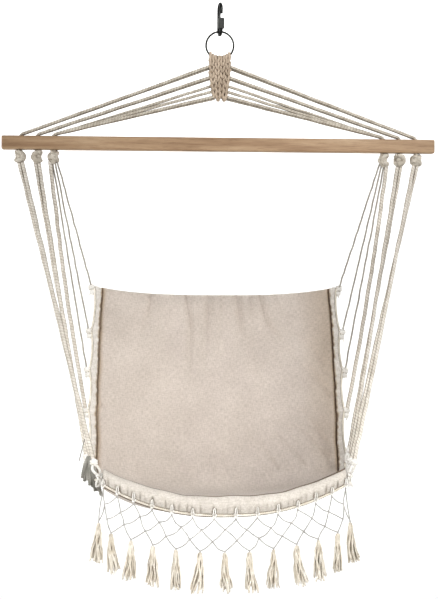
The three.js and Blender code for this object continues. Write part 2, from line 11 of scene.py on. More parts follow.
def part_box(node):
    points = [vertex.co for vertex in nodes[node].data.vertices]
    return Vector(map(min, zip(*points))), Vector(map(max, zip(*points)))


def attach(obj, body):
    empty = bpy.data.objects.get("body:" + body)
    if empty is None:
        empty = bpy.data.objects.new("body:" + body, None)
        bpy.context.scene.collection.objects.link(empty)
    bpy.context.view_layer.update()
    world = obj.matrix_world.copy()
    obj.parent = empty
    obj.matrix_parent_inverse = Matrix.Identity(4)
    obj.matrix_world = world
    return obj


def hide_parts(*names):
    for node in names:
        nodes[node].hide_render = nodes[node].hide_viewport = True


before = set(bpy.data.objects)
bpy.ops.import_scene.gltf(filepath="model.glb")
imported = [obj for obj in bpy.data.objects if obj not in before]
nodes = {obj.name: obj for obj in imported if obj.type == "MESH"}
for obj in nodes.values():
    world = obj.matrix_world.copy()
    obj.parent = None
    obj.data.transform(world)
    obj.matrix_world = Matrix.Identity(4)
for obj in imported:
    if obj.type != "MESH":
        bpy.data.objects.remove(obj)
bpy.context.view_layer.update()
rng = random.Random(7)
SIDES = {"left": -1, "right": 1}

# Camera, level with the middle of the whole chair and a little to its left
FRAME_HEIGHT = 599
METRES_PER_PIXEL = 0.002198
CAMERA_AWAY = 2.8
CAMERA_TURN = math.radians(-2.4)
CAMERA_ROLL = math.radians(0.3)
EYE_Z = -0.645
LOOK_X = 0.001
SENSOR_MM = 24

# Studio: a pale floor that bends up into a backdrop, and lights, each with its place, where it
# points, its size, its power and the degrees that it spreads over
FLOOR_Z = -1.75
BACKDROP_Y = 5.6
BACKDROP_BEND = 1.2
BACKDROP_TOP_Z = 3.5
BEND_STEPS = 12
STUDIO_HALF = 7
PAPER_COLOR = (0.92, 0.92, 0.91, 1)
PAPER_ROUGHNESS = 0.95
WORLD_STRENGTH = 0.46
LIGHTS = {
    "key": ((1.2, -2, 0), (-0.2, 0, -1.06), 0.5, 1.45, 30),
    "fill": ((1.3, -2.2, 0.9), (0.26, 0, 0), 0.8, 2.4, 36),
    "side": ((-2.2, -0.7, -0.7), (0, 0, -0.8), 1, 17, 180),
    "low": ((-0.5, -2.1, -1.35), (0, -0.3, -1.2), 0.6, 1.3, 50),
    "back": ((0.9, 3.2, 1.7), (0, 0, -0.8), 1, 45, 180),
    "backdrop_wash": ((0, 3.6, 1.6), (0, BACKDROP_Y, -0.2), 3, 130, 180),
}

# Cords
CORD_RADIUS = 0.0034
CORD_PITCH = 0.017
CORD_GROOVE_SHARE = 0.4
CORD_RING_SHARE = 0.09
CORD_SPACING = 0.006
BRAID_RING_STEP = 0.004
BRAID_PITCH = 0.0068

# Counts of sides, strands and steps, and how much of a path's direction may point to the back
# before its rings are squared to another way
ROUND_SIDES = 12
ROPE_SIDES = 15
THIN_ROPE_SIDES = 9
FINE_SIDES = 8
STRANDS = 3
CURVE_STEPS = 8
STRAIGHT_BACK_SHARE = 0.9

# Link, nut and ring
LINK_TURN = math.radians(8)
LINK_BOW = 0.0135
LINK_RADIUS = 0.004
LINK_TOP_BOW_Z = -0.0095
LINK_LOW_BOW_Z = -0.0495
LINK_GAP_TOP_Z = -0.019
LINK_GAP_LOW_Z = -0.029
THREAD_REACH = 0.013
THREAD_PITCH = 0.00125
THREAD_DEPTH = 0.0004
THREAD_STEPS = 5
BOW_STEPS = 40
LINK_SIDES = 20
NUT_FLATS = 0.013
NUT_BORE_RADIUS = 0.0045
NUT_TOP_Z = -0.0295
NUT_LENGTH = 0.0225
NUT_CHAMFER = 0.0011
NUT_STEP_DEGREES = 6
RING_RADIUS = 0.0303
RING_WIRE_RADIUS = 0.0022
RING_CENTRE_Z = -0.0868
RING_STEPS = 97
RING_SIDES = 16

# Neck
NECK_TOP_HALF = 0.0237
NECK_LOW_HALF = 0.0165
NECK_TOP_ROW_Z = -0.119
NECK_LOW_ROW_Z = -0.2
NECK_TAPER_Z = -0.15
NECK_ROWS = 6
NECK_COLUMNS = 4
NECK_LOBE = 0.0034
NECK_LOBE_HALF = 0.0072
NECK_LOBE_LEAN = 0.0022
NECK_LOBE_APART = 0.0029
NECK_BULGE = 0.0052
NECK_CORE_DEEP = 0.0052
NECK_RING_COLUMNS = 4
NECK_RING_PITCH = 0.0117
NECK_STRAND = 0.0032
NECK_APART_SHARE = 0.9
NECK_TURN_RADIUS = 0.0056
NECK_TURN_STEPS = 13
NECK_TURN_STEP = 0.0012
NECK_PLAIN = 0.014
NECK_LAY_PITCH = 0.011
NECK_GROOVE_SHARE = 0.2
NECK_ROOT_SHARE = 0.4
NECK_FULLNESS_SHARES = (0.9, 1.1)
BIGHT_STEPS = 9

# The neck's core, drawn in by a share of the bights' thickness
CORE_IN_SHARE = 0.6
CORE_SQUARENESS = 0.5
CORE_SIDES = 24
CORE_RINGS = 14

# Bar, its holes, and where the bridle cords leave the neck, as shares of its half width and height
BAR_HALF = 0.475
BAR_TOP_Z = -0.29
BAR_HEIGHT = 0.03
MOUTH_BACK = 0.0052
MOUTH_RISE = 0.0038
BRIDLE_STEPS = 12
BRIDLE_CURVE_STEPS = 10
BRIDLE_WOBBLE = 0.0005
HOLE_INSET = 0.04
HOLE_PITCH = 0.036
NECK_OUT = 0.0267
NECK_TOP_Z = -0.107
NECK_FOOT_Z = -0.205
HOLES = {
    "outer": [(1, 0.25), (1, 0.28)],
    "middle": [(1, 0.5), (1, 0.52)],
    "inner": [(0.955, 0.694), (0.87, 0.827), (0.787, 0.944), (0.787, 0.98)],
}
TUCK = 0.01
# Points where a bridle cord bends down into its hole: back towards the neck as shares of
# MOUTH_BACK, up as shares of MOUTH_RISE, out to its own place, and down as shares of BAR_HEIGHT
MOUTH_SHARES = [
    (2, 1.6, 0, 0), (0.8, 1, 0, 0), (0, 0, 0.6, 0.125), (0, 0, 1, 0.5), (0, 0, 1, 1.25),
]

# Stopper knots: lift, tilt and reach of each wrap
KNOT_MIDDLE_DROP = 0.0152
KNOT_WRAPS = [
    (0.0052, 32, 0.009), (-0.005, -24, 0.0088), (0.0004, 66, 0.0094), (-0.0006, -62, 0.009),
]
KNOT_STRAND = 0.0052
KNOT_CORE = (0.0085, 0.0085, 0.0165)
KNOT_LAY_PITCH = 0.02
KNOT_STEPS = 60
HINGE_Z = -0.3531

# Side edges of the seat, as shares of its half width, its reach and its drop
SEAT_HALF = 0.286
SEAT_REACH = 0.29
SEAT_DROP = 1.02
SEAT_SHIFT = -0.0417
SIDE_EDGE_SHARES = [
    (0.979, 0.707, 0.606),
    (0.993, 0.586, 0.704),
    (1, 0.472, 0.789),
    (1, 0.355, 0.8755),
    (0.995, 0.248, 0.941),
    (0.985, 0.103, 0.988),
    (0.945, -0.207, 1),
    (0.887, -0.621, 0.99),
    (0.829, -1, 0.9686),
]
EDGE_GAP = 0.0003
EDGE_CORD_RADIUS = 0.0028
EDGE_SUNK = 0.001
EDGE_KNOT = 0.0075
EDGE_SCALLOP = 0.006
EDGE_PULL = 0.02
HANG_RADIUS = 0.004
HANG_START_RISE = 0.009
HANG_WOBBLE = 0.0007
HANG_STEPS = 24
HANG_CURVE_STEPS = 6
THIN_SHARE = 0.5
# Hole, place in its row, share of the full thickness, shares of the knot's place, whether it is
# tied with two loops, and bow of the cord
TIES = [
    ("inner", -1.4, THIN_SHARE, SIDE_EDGE_SHARES[0], False, 0),
    ("inner", -0.55, THIN_SHARE, SIDE_EDGE_SHARES[1], False, 0),
    ("inner", 0.3, THIN_SHARE, SIDE_EDGE_SHARES[2], False, 0),
    ("inner", 1.2, 1.1, SIDE_EDGE_SHARES[3], False, 0.005),
    ("middle", 0.6, 1, (0.9825, 0.138, 0.956), True, 0),
    ("middle", -0.6, 1, (0.965, -0.052, 0.964), True, 0.001),
    ("outer", 0.6, 1, (0.9, -0.517, 0.957), True, -0.002),
    ("outer", -0.6, 1, (0.86, -0.959, 0.943), True, 0.001),
]
EDGE_STEPS = 12
EDGE_RING_STEP = 0.003

# Tie knots on the side edges: a core and two leaning wraps, in shares of the knot's size
TIE_KNOT = 0.0115
TIE_CORE_SHARES = (0.6, 0.5, 0.66)
TIE_WRAP_SHARES = (0.5, 0.45, 0.2)
TIE_WRAP_LEANS = [(0.3, 0.8), (-0.8, -0.3)]
SECOND_KNOT_IN = 0.003
SECOND_KNOT_DROP = 0.011
# A small knot: its reach, depth, cord and lay, in shares of its size
SMALL_KNOT_SHARES = (0.2, 0.36, 0.38, 1.6)
CORNER_KNOT = 0.009
CORNER_KNOT_OUT = 0.005

# Loops and tails that hang from the knots
LOOP_RADIUS = 0.0027
LOOP_PITCH = 0.008
LOOP_SPREAD = 0.005
LOOP_WIDE = 0.006
LOOP_OUT = 0.0025
LOOP_DEEP = 0.0035
TAIL_RADIUS = 0.0013
TAIL_POINT_SHARES = (0.3, 0.6, 1)
TAIL_CURL_X = 0.002
TAIL_CURL_Y = 0.003
TAIL_REACH = 0.008
TAIL_DROPS = (0.014, 0.026)
CORNER_TAILS = (0.002, 0.008)
CORNER_TAIL_DROP = 0.02

# Loose ends at the left corner: how far each reaches sideways and down
BUNCH_IN = 0.03
BUNCH_Y = -0.2
BUNCH_TOP_Z = -0.965
BUNCH_RADIUS = 0.0038
BUNCH_PITCH = 0.014
BUNCH_BEND_SHARES = (0.55, 0.4)
BUNCH_ENDS = [
    (-0.013, 0.044), (-0.008, 0.051), (-0.002, 0.049), (0.003, 0.059),
    (0.009, 0.063), (0.014, 0.071), (0.02, 0.07), (0.026, 0.08),
]
STRAY_START = (-0.008, 0, 0.035)
STRAY_REACH = (-0.011, 0, -0.045)

# Pad: thickness, and how its middle sags behind the side edges, from the back's top to the front
PAD_THICK = 0.03
PAD_RIM_THICK = 0.008
PAD_END_THICK = 0.02
PAD_LIP_THICK = 0.004
PAD_END_REACH = 0.04
PAD_END_ROUND = 0.007
PAD_SAGS = [0.045, 0.055, 0.062, 0.07, 0.076, 0.074, 0.06, 0.05, 0.05]
PAD_SAG_POWERS = [3.5, 3.5, 3.5, 3.5, 3.5, 3.5, 3.2, 2.6, 2.3]
PAD_CROWN_POWER = 8
PAD_TOP_DIP = 0.005
PAD_TOP_RISE = 0.003
PAD_DIP_SHARE = 0.35
PAD_PATH_STEPS = 24
PAD_PATH_SHARES = 400
PAD_ROWS = 80
PAD_COLUMNS = 60
PAD_END_ROWS = (0.0015, 0.004, 0.008, 0.014, 0.024)

# The sewn crease beside each wing, as a share of the half width, and columns near it
CREASE_SHARES = {-1: 0.941, 1: 0.945}
CREASE_COLUMNS = (-0.05, -0.035, -0.022, -0.013, -0.006, 0, 0.006, 0.014)
CREASE_SLOT_SHARE = 0.85
CREASE_WIDTH = 0.003
SEAM_LEFT_WIDTH = 0.0034
SEAM_RIGHT_WIDTH = 0.0038
WING_COLUMNS = 5

# Painted shade on the pad, each with its strength and how far it reaches; the seams wander in
# waves, each with its radians per metre and its start
SEAM_LEFT_SHADE = 0.86
SEAM_WANDER = 0.0008
SEAM_WAVES = [(75, 0), (31, 2)]
FLANK_WIDTH = 0.009
FLANK_SHADE = 0.5
FRONT_SHADE = 0.62
FRONT_SHADE_REACH = 0.15
FRONT_SHADE_LEAN = 0.2
RIGHT_SHADE = 0.3
RIGHT_SHADE_REACH = 0.075
RIGHT_SHADE_END_SHARE = 1.2

# The short blow-up that wrinkles the pad's cover, held near its seams
PAD_CLOTH = {
    "quality": 5,
    "mass": 0.3,
    "tension_stiffness": 18,
    "compression_stiffness": 18,
    "bending_stiffness": 0.6,
    "use_pressure": True,
    "uniform_pressure_force": 4,
    "vertex_group_mass": "held",
}
PAD_FRAMES = 20
PAD_MOST_MOVE = 0.004
PAD_HELD_REACH = 0.02

# Crumpled wings as waves, each with its radians per metre down the edge, over the wing's width
# and over the pad's half width; how steeply faces count as front ones; the top's hem; and how
# fast folds fade along their length
WING_CRUMPLE = 0.0013
CRUMPLE_WAVES = [(260, 3, 0), (417, -5, 0), (171, 0, 9)]
FRONT_FACING = 2
HEM_DROP = 0.009
HEM_WIDTH = 0.003
HEM_DEPTH = 0.0005
FOLD_FADE = 0.7
# Folds in front view: places of x and z along each, half width, and height (down if negative)
FOLDS = [
    ([(-0.152, -0.638), (-0.161, -0.705), (-0.167, -0.744)], 0.006, -0.008),
    ([(-0.14, -0.638), (-0.138, -0.744)], 0.007, 0.0051),
    ([(-0.07, -0.638), (-0.058, -0.71), (-0.06, -0.782), (-0.067, -0.857)], 0.006, -0.0087),
    ([(-0.049, -0.638), (-0.042, -0.755)], 0.008, 0.0058),
    ([(-0.018, -0.638), (-0.02, -0.744), (-0.027, -0.823)], 0.006, -0.008),
    ([(-0.001, -0.638), (0.005, -0.778)], 0.007, 0.0058),
    ([(0.013, -0.638), (0.018, -0.69)], 0.005, -0.0051),
    ([(0.049, -0.638), (0.058, -0.71), (0.058, -0.782)], 0.0065, -0.0087),
    ([(0.067, -0.638), (0.078, -0.721), (0.085, -0.789), (0.11, -0.87)], 0.008, 0.0065),
    ([(0.08, -0.638), (0.087, -0.69)], 0.005, -0.0051),
    ([(0.105, -0.638), (0.116, -0.692), (0.146, -0.735), (0.182, -0.778)], 0.0065, -0.008),
    ([(0.12, -0.638), (0.132, -0.71)], 0.007, 0.0058),
    ([(0.145, -0.638), (0.163, -0.69)], 0.006, -0.0051),
    ([(0.248, -0.787), (0.206, -0.743), (0.16, -0.711)], 0.0069, -0.0058),
    ([(0.26, -0.859), (0.213, -0.804), (0.167, -0.762)], 0.0069, -0.0065),
    ([(0.253, -0.827), (0.195, -0.78)], 0.0138, 0.0043),
    ([(0.246, -0.966), (0.214, -0.92), (0.182, -0.884)], 0.0069, -0.0087),
    ([(0.25, -0.92), (0.223, -0.866)], 0.0138, 0.0058),
    ([(0.195, -1.016), (0.154, -0.971), (0.118, -0.932)], 0.006, -0.0065),
    ([(0.136, -1.025), (0.095, -0.971), (0.06, -0.932)], 0.006, -0.0051),
    ([(0.182, -0.936), (0.099, -0.907), (0.019, -0.897)], 0.0045, -0.002),
    ([(-0.186, -0.943), (-0.113, -0.913), (-0.038, -0.907)], 0.0057, 0.0022),
    ([(0.248, -1), (0.218, -0.966), (0.179, -0.932)], 0.006, -0.008),
    ([(0.236, -0.982), (0.202, -0.943)], 0.0069, 0.0058),
    ([(0.255, -0.977), (0.232, -0.932)], 0.0092, 0.0051),
    ([(0.232, -1.016), (0.191, -1)], 0.0092, 0.0043),
    ([(-0.171, -0.868), (-0.071, -0.831)], 0.0069, -0.0022),
    ([(-0.072, -0.932), (-0.07, -0.993)], 0.006, -0.0022),
    ([(0.013, -0.932), (0.015, -1)], 0.0069, 0.0022),
    ([(-0.259, -0.886), (-0.22, -0.902)], 0.0069, -0.0065),
]

# Front edge: its knots, the roll's top and underside, the waves of its top with their share of
# the height, radians over the half width and start, and how many steps a knot's pull reaches
EDGE_KNOTS = 14
FRONT_HALF = 0.2341
FRONT_POWER = 2.3
FRONT_BEND = 0.93
FRONT_CORNER_Z = -0.988
ROLL_TOP_RISE = 0.016
ROLL_TOP_SAG = 0.052
ROLL_WAVE = 0.0011
ROLL_WAVE_SHARES = [(1, 9, 1), (0.7, 23, 0)]
ROLL_WAVE_POWER = 4
ROLL_LOW_DROP = 0.009
ROLL_LOW_SAG = 0.058
ROLL_DEPTH = 0.018
ROLL_STEPS = 20
ROLL_RINGS = 36
ROLL_BITE = 0.0028
ROLL_BITE_HIGH_SHARE = 0.55
ROLL_BITE_WIDE_SHARE = 0.35
ROLL_KNOT_STEPS = 2.6
ROLL_SCALLOP = 0.0012
ROLL_FULLER = 0.0026
ROLL_FLAT_SHARE = 0.12
# Thin dark strips of painted shadow behind the roll's crest and just under the front cord
OVER_BACK = 0.0075
OVER_DROP = 0.0012
OVER_LEFT_RADIUS = 0.0004
OVER_RIGHT_RADIUS = 0.0024
UNDER_BACK = 0.0035
UNDER_DROP = 0.002
UNDER_LEFT_RADIUS = 0.0034
UNDER_RIGHT_RADIUS = 0.0018
# Pleats: width, height, and where each set starts; they fade out up the roll
PLEATS = [(0.0085, 0.0024, 0.4), (0.0131, 0.0021, 2.1), (0.0227, 0.0014, 4)]
PLEAT_TOP_SHARE = 0.35
PLEAT_FADE_SHARE = 1.1
PLEAT_LEAN_SHARE = 0.5
FRONT_CORD_RADIUS = 0.0028
FRONT_CORD_STEPS = 60
FRONT_CORD_PITCH = 0.012
FRONT_KNOT = 0.0062
FRONT_KNOT_RADIUS = 0.0045
SHADOW_STRIP_STEP = 0.004

# Loops from the front cord into the roll: how high each goes, how it leans and rises, and its
# points as shares of the way up and of its width
BITE_HIGH_SHARES = (0.15, 0.6)
BITE_LEAN = 0.001
BITE_WIDE = 0.0017
BITE_PROUD = 0.0004
BITE_IN_SHARE = 0.6
BITE_POINT_SHARES = [(0.35, 1), (0.8, 0.8)]
BITE_RADIUS = 0.0012
BITE_PITCH = 0.006
BITE_CURVE_STEPS = 6

# Net and tassels
NET_CORD = 0.0014
NET_PITCH = 0.004
NET_DROP = 0.021
NET_SLACK = 0.0024
NET_SAG_SHARE = 1.7
NET_SHIFT = 0.0028
NET_ROWS = 3
NET_FLARE_SHARE = 0.05
NET_KNOT = 0.003
NET_LUMP = (0.0019, 0.0019, 0.0022)
TASSEL_OUT = 0.009
TASSEL_LENGTH = 0.077
TASSEL_WIDE = 0.0148
TASSEL_FULLNESS_SHARES = (0.78, 1.12)
TASSEL_HEAD = (0.003, 0.003, 0.005)
TASSEL_HEAD_DROP = 0.003
TASSEL_HEAD_SIDES = 10
TASSEL_LEAN = 0.009
TASSEL_NECK = 0.0021
TASSEL_NECK_SHARE = 0.05
TASSEL_FLARE = 0.85
TASSEL_CURL = 0.0045

# Yarns of a tassel: how many, how their curl turns down each and round the tassel, the points
# down each, their widths, lengths and thickness, and their taper
YARNS = 22
YARN_RADIUS = 0.0018
YARN_SIDES = 7
YARN_CURVE_STEPS = 3
YARN_CURLS = (7, 3)
YARN_POINT_SHARES = (0, 0.05, 0.1, 0.25, 0.45, 0.65, 0.85, 1)
YARN_SPREAD_SHARES = (0.8, 1)
YARN_WIDTH_SHARES = (0.3, 0.65, 0.85, 1)
YARN_LENGTH_SHARES = (0.84, 1)
YARN_FAT_SHARES = (0.6, 1.35)
YARN_TAPER_SHARES = [(0, 0.4), (0.12, 0.6), (0.5, 1), (1, 0.9)]

# Shades that multiply a material's colour, each as stops with a place and a colour; the first four
# are painted shade, the rest the things' own patterns
WHITE = (1, 1, 1)
HOLLOW_PAINTED_SHADES = [(0.3, (0.3, 0.24, 0.17)), (0.85, WHITE)]
SEAM_PAINTED_SHADES = [(0.1, WHITE), (0.5, (0.74, 0.64, 0.5)), (0.95, (0.16, 0.1, 0.06))]
BRAID_GROOVE_PAINTED_SHADES = [(0.04, (0.56, 0.51, 0.44)), (0.42, WHITE)]
CORD_SIDE_PAINTED_SHADES = [(0.62, WHITE), (0.97, (0.4, 0.345, 0.28))]
FIBRE_SHADES = [(0.3, (0.72, 0.7, 0.67)), (0.6, WHITE)]
SLUB_SHADES = [(0.34, (0.7, 0.68, 0.64)), (0.6, WHITE)]
WEAVE_SHADES = [(0, (0.82, 0.8, 0.78)), (0.4, WHITE)]
GRAIN_SHADES = [(0, (0.8, 0.75, 0.7)), (0.55, WHITE)]
PORE_SHADES = [(0.38, (0.62, 0.55, 0.48)), (0.46, WHITE)]
FIBRE_SHARE = 0.6
SLUB_SHARE = 0.85
WEAVE_SHARE = 0.7
GRAIN_SHARE = 0.8
PORE_SHARE = 0.6

# How far apart faces may be to shade each other, and the samples for it
HOLLOW_REACH = 0.004
FOLD_REACH = 0.007
HOLLOW_SAMPLES = 6

# Yarn and cloth: sheen, patches with their scale and detail, and the weave with its depth
SHEEN_WEIGHT = 0.15
SHEEN_ROUGHNESS = 0.6
YARN_ROUGHNESS = 0.92
YARN_PATCHES = (55, 4)
YARN_PATCH_ENDS = (0.32, 0.68)
FIBRE_SCALE = 900
FIBRE_DEPTH = 0.0003
BRAID_RELIEF = 3
CLOTH_ROUGHNESS = 0.9
CLOTH_PATCHES = (11, 5)
CLOTH_PATCH_ENDS = (0.3, 0.7)
WEAVE_SCALE = 260
WEAVE_WOBBLE = 0.4
WEAVE_DEPTH = 0.0004
SLUBS_ALONG = (110, 480, 300)
SLUBS_ACROSS = (480, 110, 300)

# Wood and steel: each pattern's stretch and scale, then its wobble, or its detail and roughness
WOOD_ROUGHNESS = 0.5
WOOD_RINGS = ((0.35, 5, 5), 3.2, 3.5)
WOOD_STREAKS = ((1, 14, 14), 5, 6, 0.62)
WOOD_PORES = ((6, 160, 160), 6, 3, 0.6)
WOOD_STOPS = [(0.3, (0.3, 0.175, 0.09)), (0.5, (0.45, 0.29, 0.165)), (0.72, (0.56, 0.39, 0.24))]
WOOD_EDGE_RADIUS = 0.0015
PORE_DEPTH = 0.0004
PORE_STRENGTH = 0.5
STEEL_PATCHES = (120, 4)
STEEL_PATCH_ENDS = (0.35, 0.65)
STEEL_DULL_SHARE = 0.62
STEEL_SCRATCHES = (400, 400, 3000)
SCRATCH_DEPTH = 0.0001
SCRATCH_STRENGTH = 0.6

# Colours: dark and light of each cloth and yarn, and colour and roughness of each steel
CLOTHS = {
    "canvas_weave": ((0.68, 0.6, 0.535), (0.8, 0.715, 0.645), "UV"),
    # the roll's cream cloth is lighter than the canvas, partly its own colour and partly painted
    # light
    "roll_weave": ((0.74, 0.685, 0.62), (0.84, 0.785, 0.71), "Object"),
    # the wings' cloth is the canvas made lighter: painted light
    "wing_weave": ((0.94, 0.89, 0.83), (1, 0.97, 0.92), "UV"),
}
STEELS = {
    "link_steel": ((0.045, 0.046, 0.045), 0.36),
    "nut_steel": ((0.15, 0.155, 0.145), 0.45),
}
YARN_COLORS = {
    "cord_yarn": ((0.52, 0.46, 0.37), (0.82, 0.76, 0.66)),
    "bridle_yarn": ((0.54, 0.475, 0.39), (0.82, 0.76, 0.655)),
    "hanging_yarn": ((0.72, 0.66, 0.57), (0.93, 0.88, 0.8)),
    "thin_yarn": ((0.34, 0.31, 0.27), (0.52, 0.49, 0.43)),
    "braid_yarn": ((0.48, 0.37, 0.27), (0.74, 0.6, 0.46)),
    # painted shade: near-black brown core, for the shadow in the gaps between the neck's bights
    "core_yarn": ((0.12, 0.07, 0.035), (0.22, 0.14, 0.08)),
    "cream_yarn": ((0.66, 0.58, 0.46), (0.93, 0.88, 0.78)),
    "pale_yarn": ((0.72, 0.65, 0.53), (0.94, 0.89, 0.8)),
    "white_yarn": ((0.9, 0.87, 0.81), (1, 0.98, 0.94)),
    "net_yarn": ((0.36, 0.35, 0.33), (0.56, 0.545, 0.52)),
    # painted shade: dark grey yarn for the cord ends in shadow behind the left corner
    "shaded_yarn": ((0.17, 0.165, 0.14), (0.36, 0.35, 0.31)),
    # painted shadow: dark yarn for the strips by the front roll
    "brown_yarn": ((0.12, 0.08, 0.05), (0.24, 0.17, 0.11)),
}
BRAIDED_YARNS = ("bridle_yarn", "hanging_yarn")


# Shapes

def put(name, data):
    """A new object in the scene."""
    made = bpy.data.objects.new(name, data)
    bpy.context.scene.collection.objects.link(made)
    return made


def smooth(mesh, is_smooth=True):
    mesh.polygons.foreach_set("use_smooth", [is_smooth] * len(mesh.polygons))


def full_turn(count):
    """That many angles round a circle, the start not repeated."""
    return np.linspace(0, 2 * math.pi, count, endpoint=False)


def spline(points, steps=CURVE_STEPS):
    """Points on one smooth curve through the given ones, with that many steps between each two."""
    p = np.array(points, float)
    p = np.vstack([2 * p[0] - p[1], p, 2 * p[-1] - p[-2]])
    t = np.linspace(0, 1, steps, endpoint=False)[:, None]
    rows = []
    for a, b, c, d in zip(p, p[1:], p[2:], p[3:]):
        curve = 2 * b + (c - a) * t + (2 * a - 5 * b + 4 * c - d) * t ** 2
        rows.append((curve + (3 * b - a - 3 * c + d) * t ** 3) / 2)
    return np.vstack(rows + [p[-2]])


def path_lengths(path):
    steps = np.linalg.norm(np.diff(path, axis=0), axis=1)
    return np.concatenate([[0], np.cumsum(steps)])


def spaced(path, step):
    """The path again, with points that far apart."""
    path = np.array(path, float)
    gone = path_lengths(path)
    at = np.linspace(0, gone[-1], max(3, round(gone[-1] / step) + 1))
    return np.stack([np.interp(at, gone, path[:, k]) for k in range(3)], axis=1)


def turned_frames(path):
    """Two directions square to the path at each point, turning as little as they can."""
    along = np.gradient(path, axis=0)
    along /= np.linalg.norm(along, axis=1)[:, None]
    across = np.zeros_like(path)
    last = np.array([0, 1, 0]) if abs(along[0, 1]) < STRAIGHT_BACK_SHARE else np.array([1, 0, 0])
    for i, way in enumerate(along):
        last = last - way * (last @ way)
        last = last / np.linalg.norm(last)
        across[i] = last
    return across, np.cross(along, across)


class Shell:
    """Collects closed tubes and lumps, and makes one object of them."""

    def __init__(self):
        self.points = []
        self.faces = []
        self.kinds = []
        self.lays = []
        self.count = 0
        self.kind = 0

    def add(self, points, faces, lay=None):
        self.points.append(np.asarray(points, float))
        self.lays.append(np.zeros((len(points), 3)) if lay is None else lay)
        self.faces += [tuple(k + self.count for k in face) for face in faces]
        self.kinds += [self.kind] * len(faces)
        self.count += len(points)

    def grid(self, rings, caps=True, lay=None):
        """Closed rings of points, joined along their length, with a face over each end."""
        n, sides = rings.shape[:2]
        faces = []
        for i in range(n - 1):
            near, far = i * sides, (i + 1) * sides
            for j in range(sides):
                k = (j + 1) % sides
                faces.append((near + j, near + k, far + k, far + j))
        if caps:
            faces.append(tuple(range(sides))[::-1])
            faces.append(tuple(range((n - 1) * sides, n * sides)))
        self.add(rings.reshape(-1, 3), faces, lay)

    def tube(self, path, radius, sides=FINE_SIDES, lobes=0, pitch=1, groove=0, start=0):
        """A tube whose section has lobes that twist once in each pitch."""
        path = np.asarray(path, float)
        across, up = turned_frames(path)
        turn = full_turn(sides)
        twist = start + 2 * math.pi * path_lengths(path)[:, None] / pitch
        wide = np.broadcast_to(np.asarray(radius, float), len(path))[:, None]
        if lobes:
            wide = wide * (1 - groove * (1 - np.abs(np.cos(lobes * (turn - twist) / 2))))
        rings = path[:, None] + across[:, None] * (wide * np.cos(turn))[..., None]
        gone = path_lengths(path)[:, None] + 0 * turn
        lay = np.stack([np.cos(turn) + 0 * gone, np.sin(turn) + 0 * gone, gone], -1)
        self.grid(rings + up[:, None] * (wide * np.sin(turn))[..., None], True, lay.reshape(-1, 3))

    def braid(self, path, radius):
        """A round cord; its material draws the braid."""
        self.tube(spaced(path, BRAID_RING_STEP), radius, ROUND_SIDES)

    def rope(self, path, radius, pitch=CORD_PITCH, start=0, sides=ROPE_SIDES):
        step = pitch * CORD_RING_SHARE
        self.tube(spaced(path, step), radius, sides, STRANDS, pitch, CORD_GROOVE_SHARE, start)

    def lump(self, middle, sizes, sides=ROUND_SIDES):
        """A closed egg, as wide as sizes say along each axis."""
        turn = full_turn(sides)
        rings = []
        for i in range(1, sides):
            tilt = math.pi * i / sides
            x, y = math.sin(tilt) * np.cos(turn), math.sin(tilt) * np.sin(turn)
            rings.append(np.stack([x, y, 0 * turn - math.cos(tilt)], 1))
        self.grid(np.array(rings) * np.array(sizes) + np.array(middle))

    def build(self, name, materials, body, *replaced):
        mesh = bpy.data.meshes.new(name)
        mesh.from_pydata(np.vstack(self.points), [], self.faces)
        for material in materials:
            mesh.materials.append(looks[material])
        mesh.polygons.foreach_set("material_index", self.kinds)
        smooth(mesh)
        lay = mesh.attributes.new("lay", "FLOAT_VECTOR", "POINT")
        lay.data.foreach_set("vector", np.vstack(self.lays).ravel())
        piece = put(name, mesh)
        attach(piece, body)
        if replaced:
            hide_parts(*replaced)
        return piece


# Materials

def new_material(name, roughness, metallic=0):
    material = bpy.data.materials.new(name)
    material.use_nodes = True
    tree = material.node_tree
    shader = tree.nodes["Principled BSDF"]
    shader.inputs["Roughness"].default_value = roughness
    shader.inputs["Metallic"].default_value = metallic
    return material, tree, shader


def add_node(tree, kind, **values):
    made = tree.nodes.new(kind)
    for name, value in values.items():
        if name in made.inputs:
            made.inputs[name].default_value = value
        else:
            setattr(made, name, value)
    return made


def place_of(tree, stretch=(1, 1, 1), source="Object"):
    """Texture coordinates, stretched along each axis."""
    coordinates = add_node(tree, "ShaderNodeTexCoord")
    mapping = add_node(tree, "ShaderNodeMapping")
    mapping.inputs["Scale"].default_value = stretch
    tree.links.new(coordinates.outputs[source], mapping.inputs["Vector"])
    return mapping.outputs["Vector"]


def noise(tree, place, scale=1, detail=2, roughness=0.55):
    made = add_node(tree, "ShaderNodeTexNoise", Scale=scale, Detail=detail, Roughness=roughness)
    tree.links.new(place, made.inputs["Vector"])
    return made.outputs["Fac"]


def wave(tree, place, direction, scale, distortion=0):
    made = add_node(tree, "ShaderNodeTexWave", Scale=scale, Distortion=distortion)
    made.bands_direction = direction
    tree.links.new(place, made.inputs["Vector"])
    return made.outputs["Fac"]


def ramp(tree, value, stops):
    made = add_node(tree, "ShaderNodeValToRGB")
    ends = made.color_ramp.elements
    ends[0].position, ends[0].color = stops[0][0], (*stops[0][1], 1)
    ends[1].position, ends[1].color = stops[-1][0], (*stops[-1][1], 1)
    for position, color in stops[1:-1]:
        ends.new(position).color = (*color, 1)
    tree.links.new(value, made.inputs["Fac"])
    return made.outputs["Color"]


def shaded(tree, color, value, shades, share=1):
    """The color, multiplied by the shades that go with the value."""
    shade = ramp(tree, value, shades)
    made = add_node(tree, "ShaderNodeMix", data_type="RGBA", blend_type="MULTIPLY")
    sockets = {socket.identifier: socket for socket in made.inputs}
    tree.links.new(color, sockets["A_Color"])
    tree.links.new(shade, sockets["B_Color"])
    sockets["Factor_Float"].default_value = share
    return next(socket for socket in made.outputs if socket.identifier == "Result_Color")


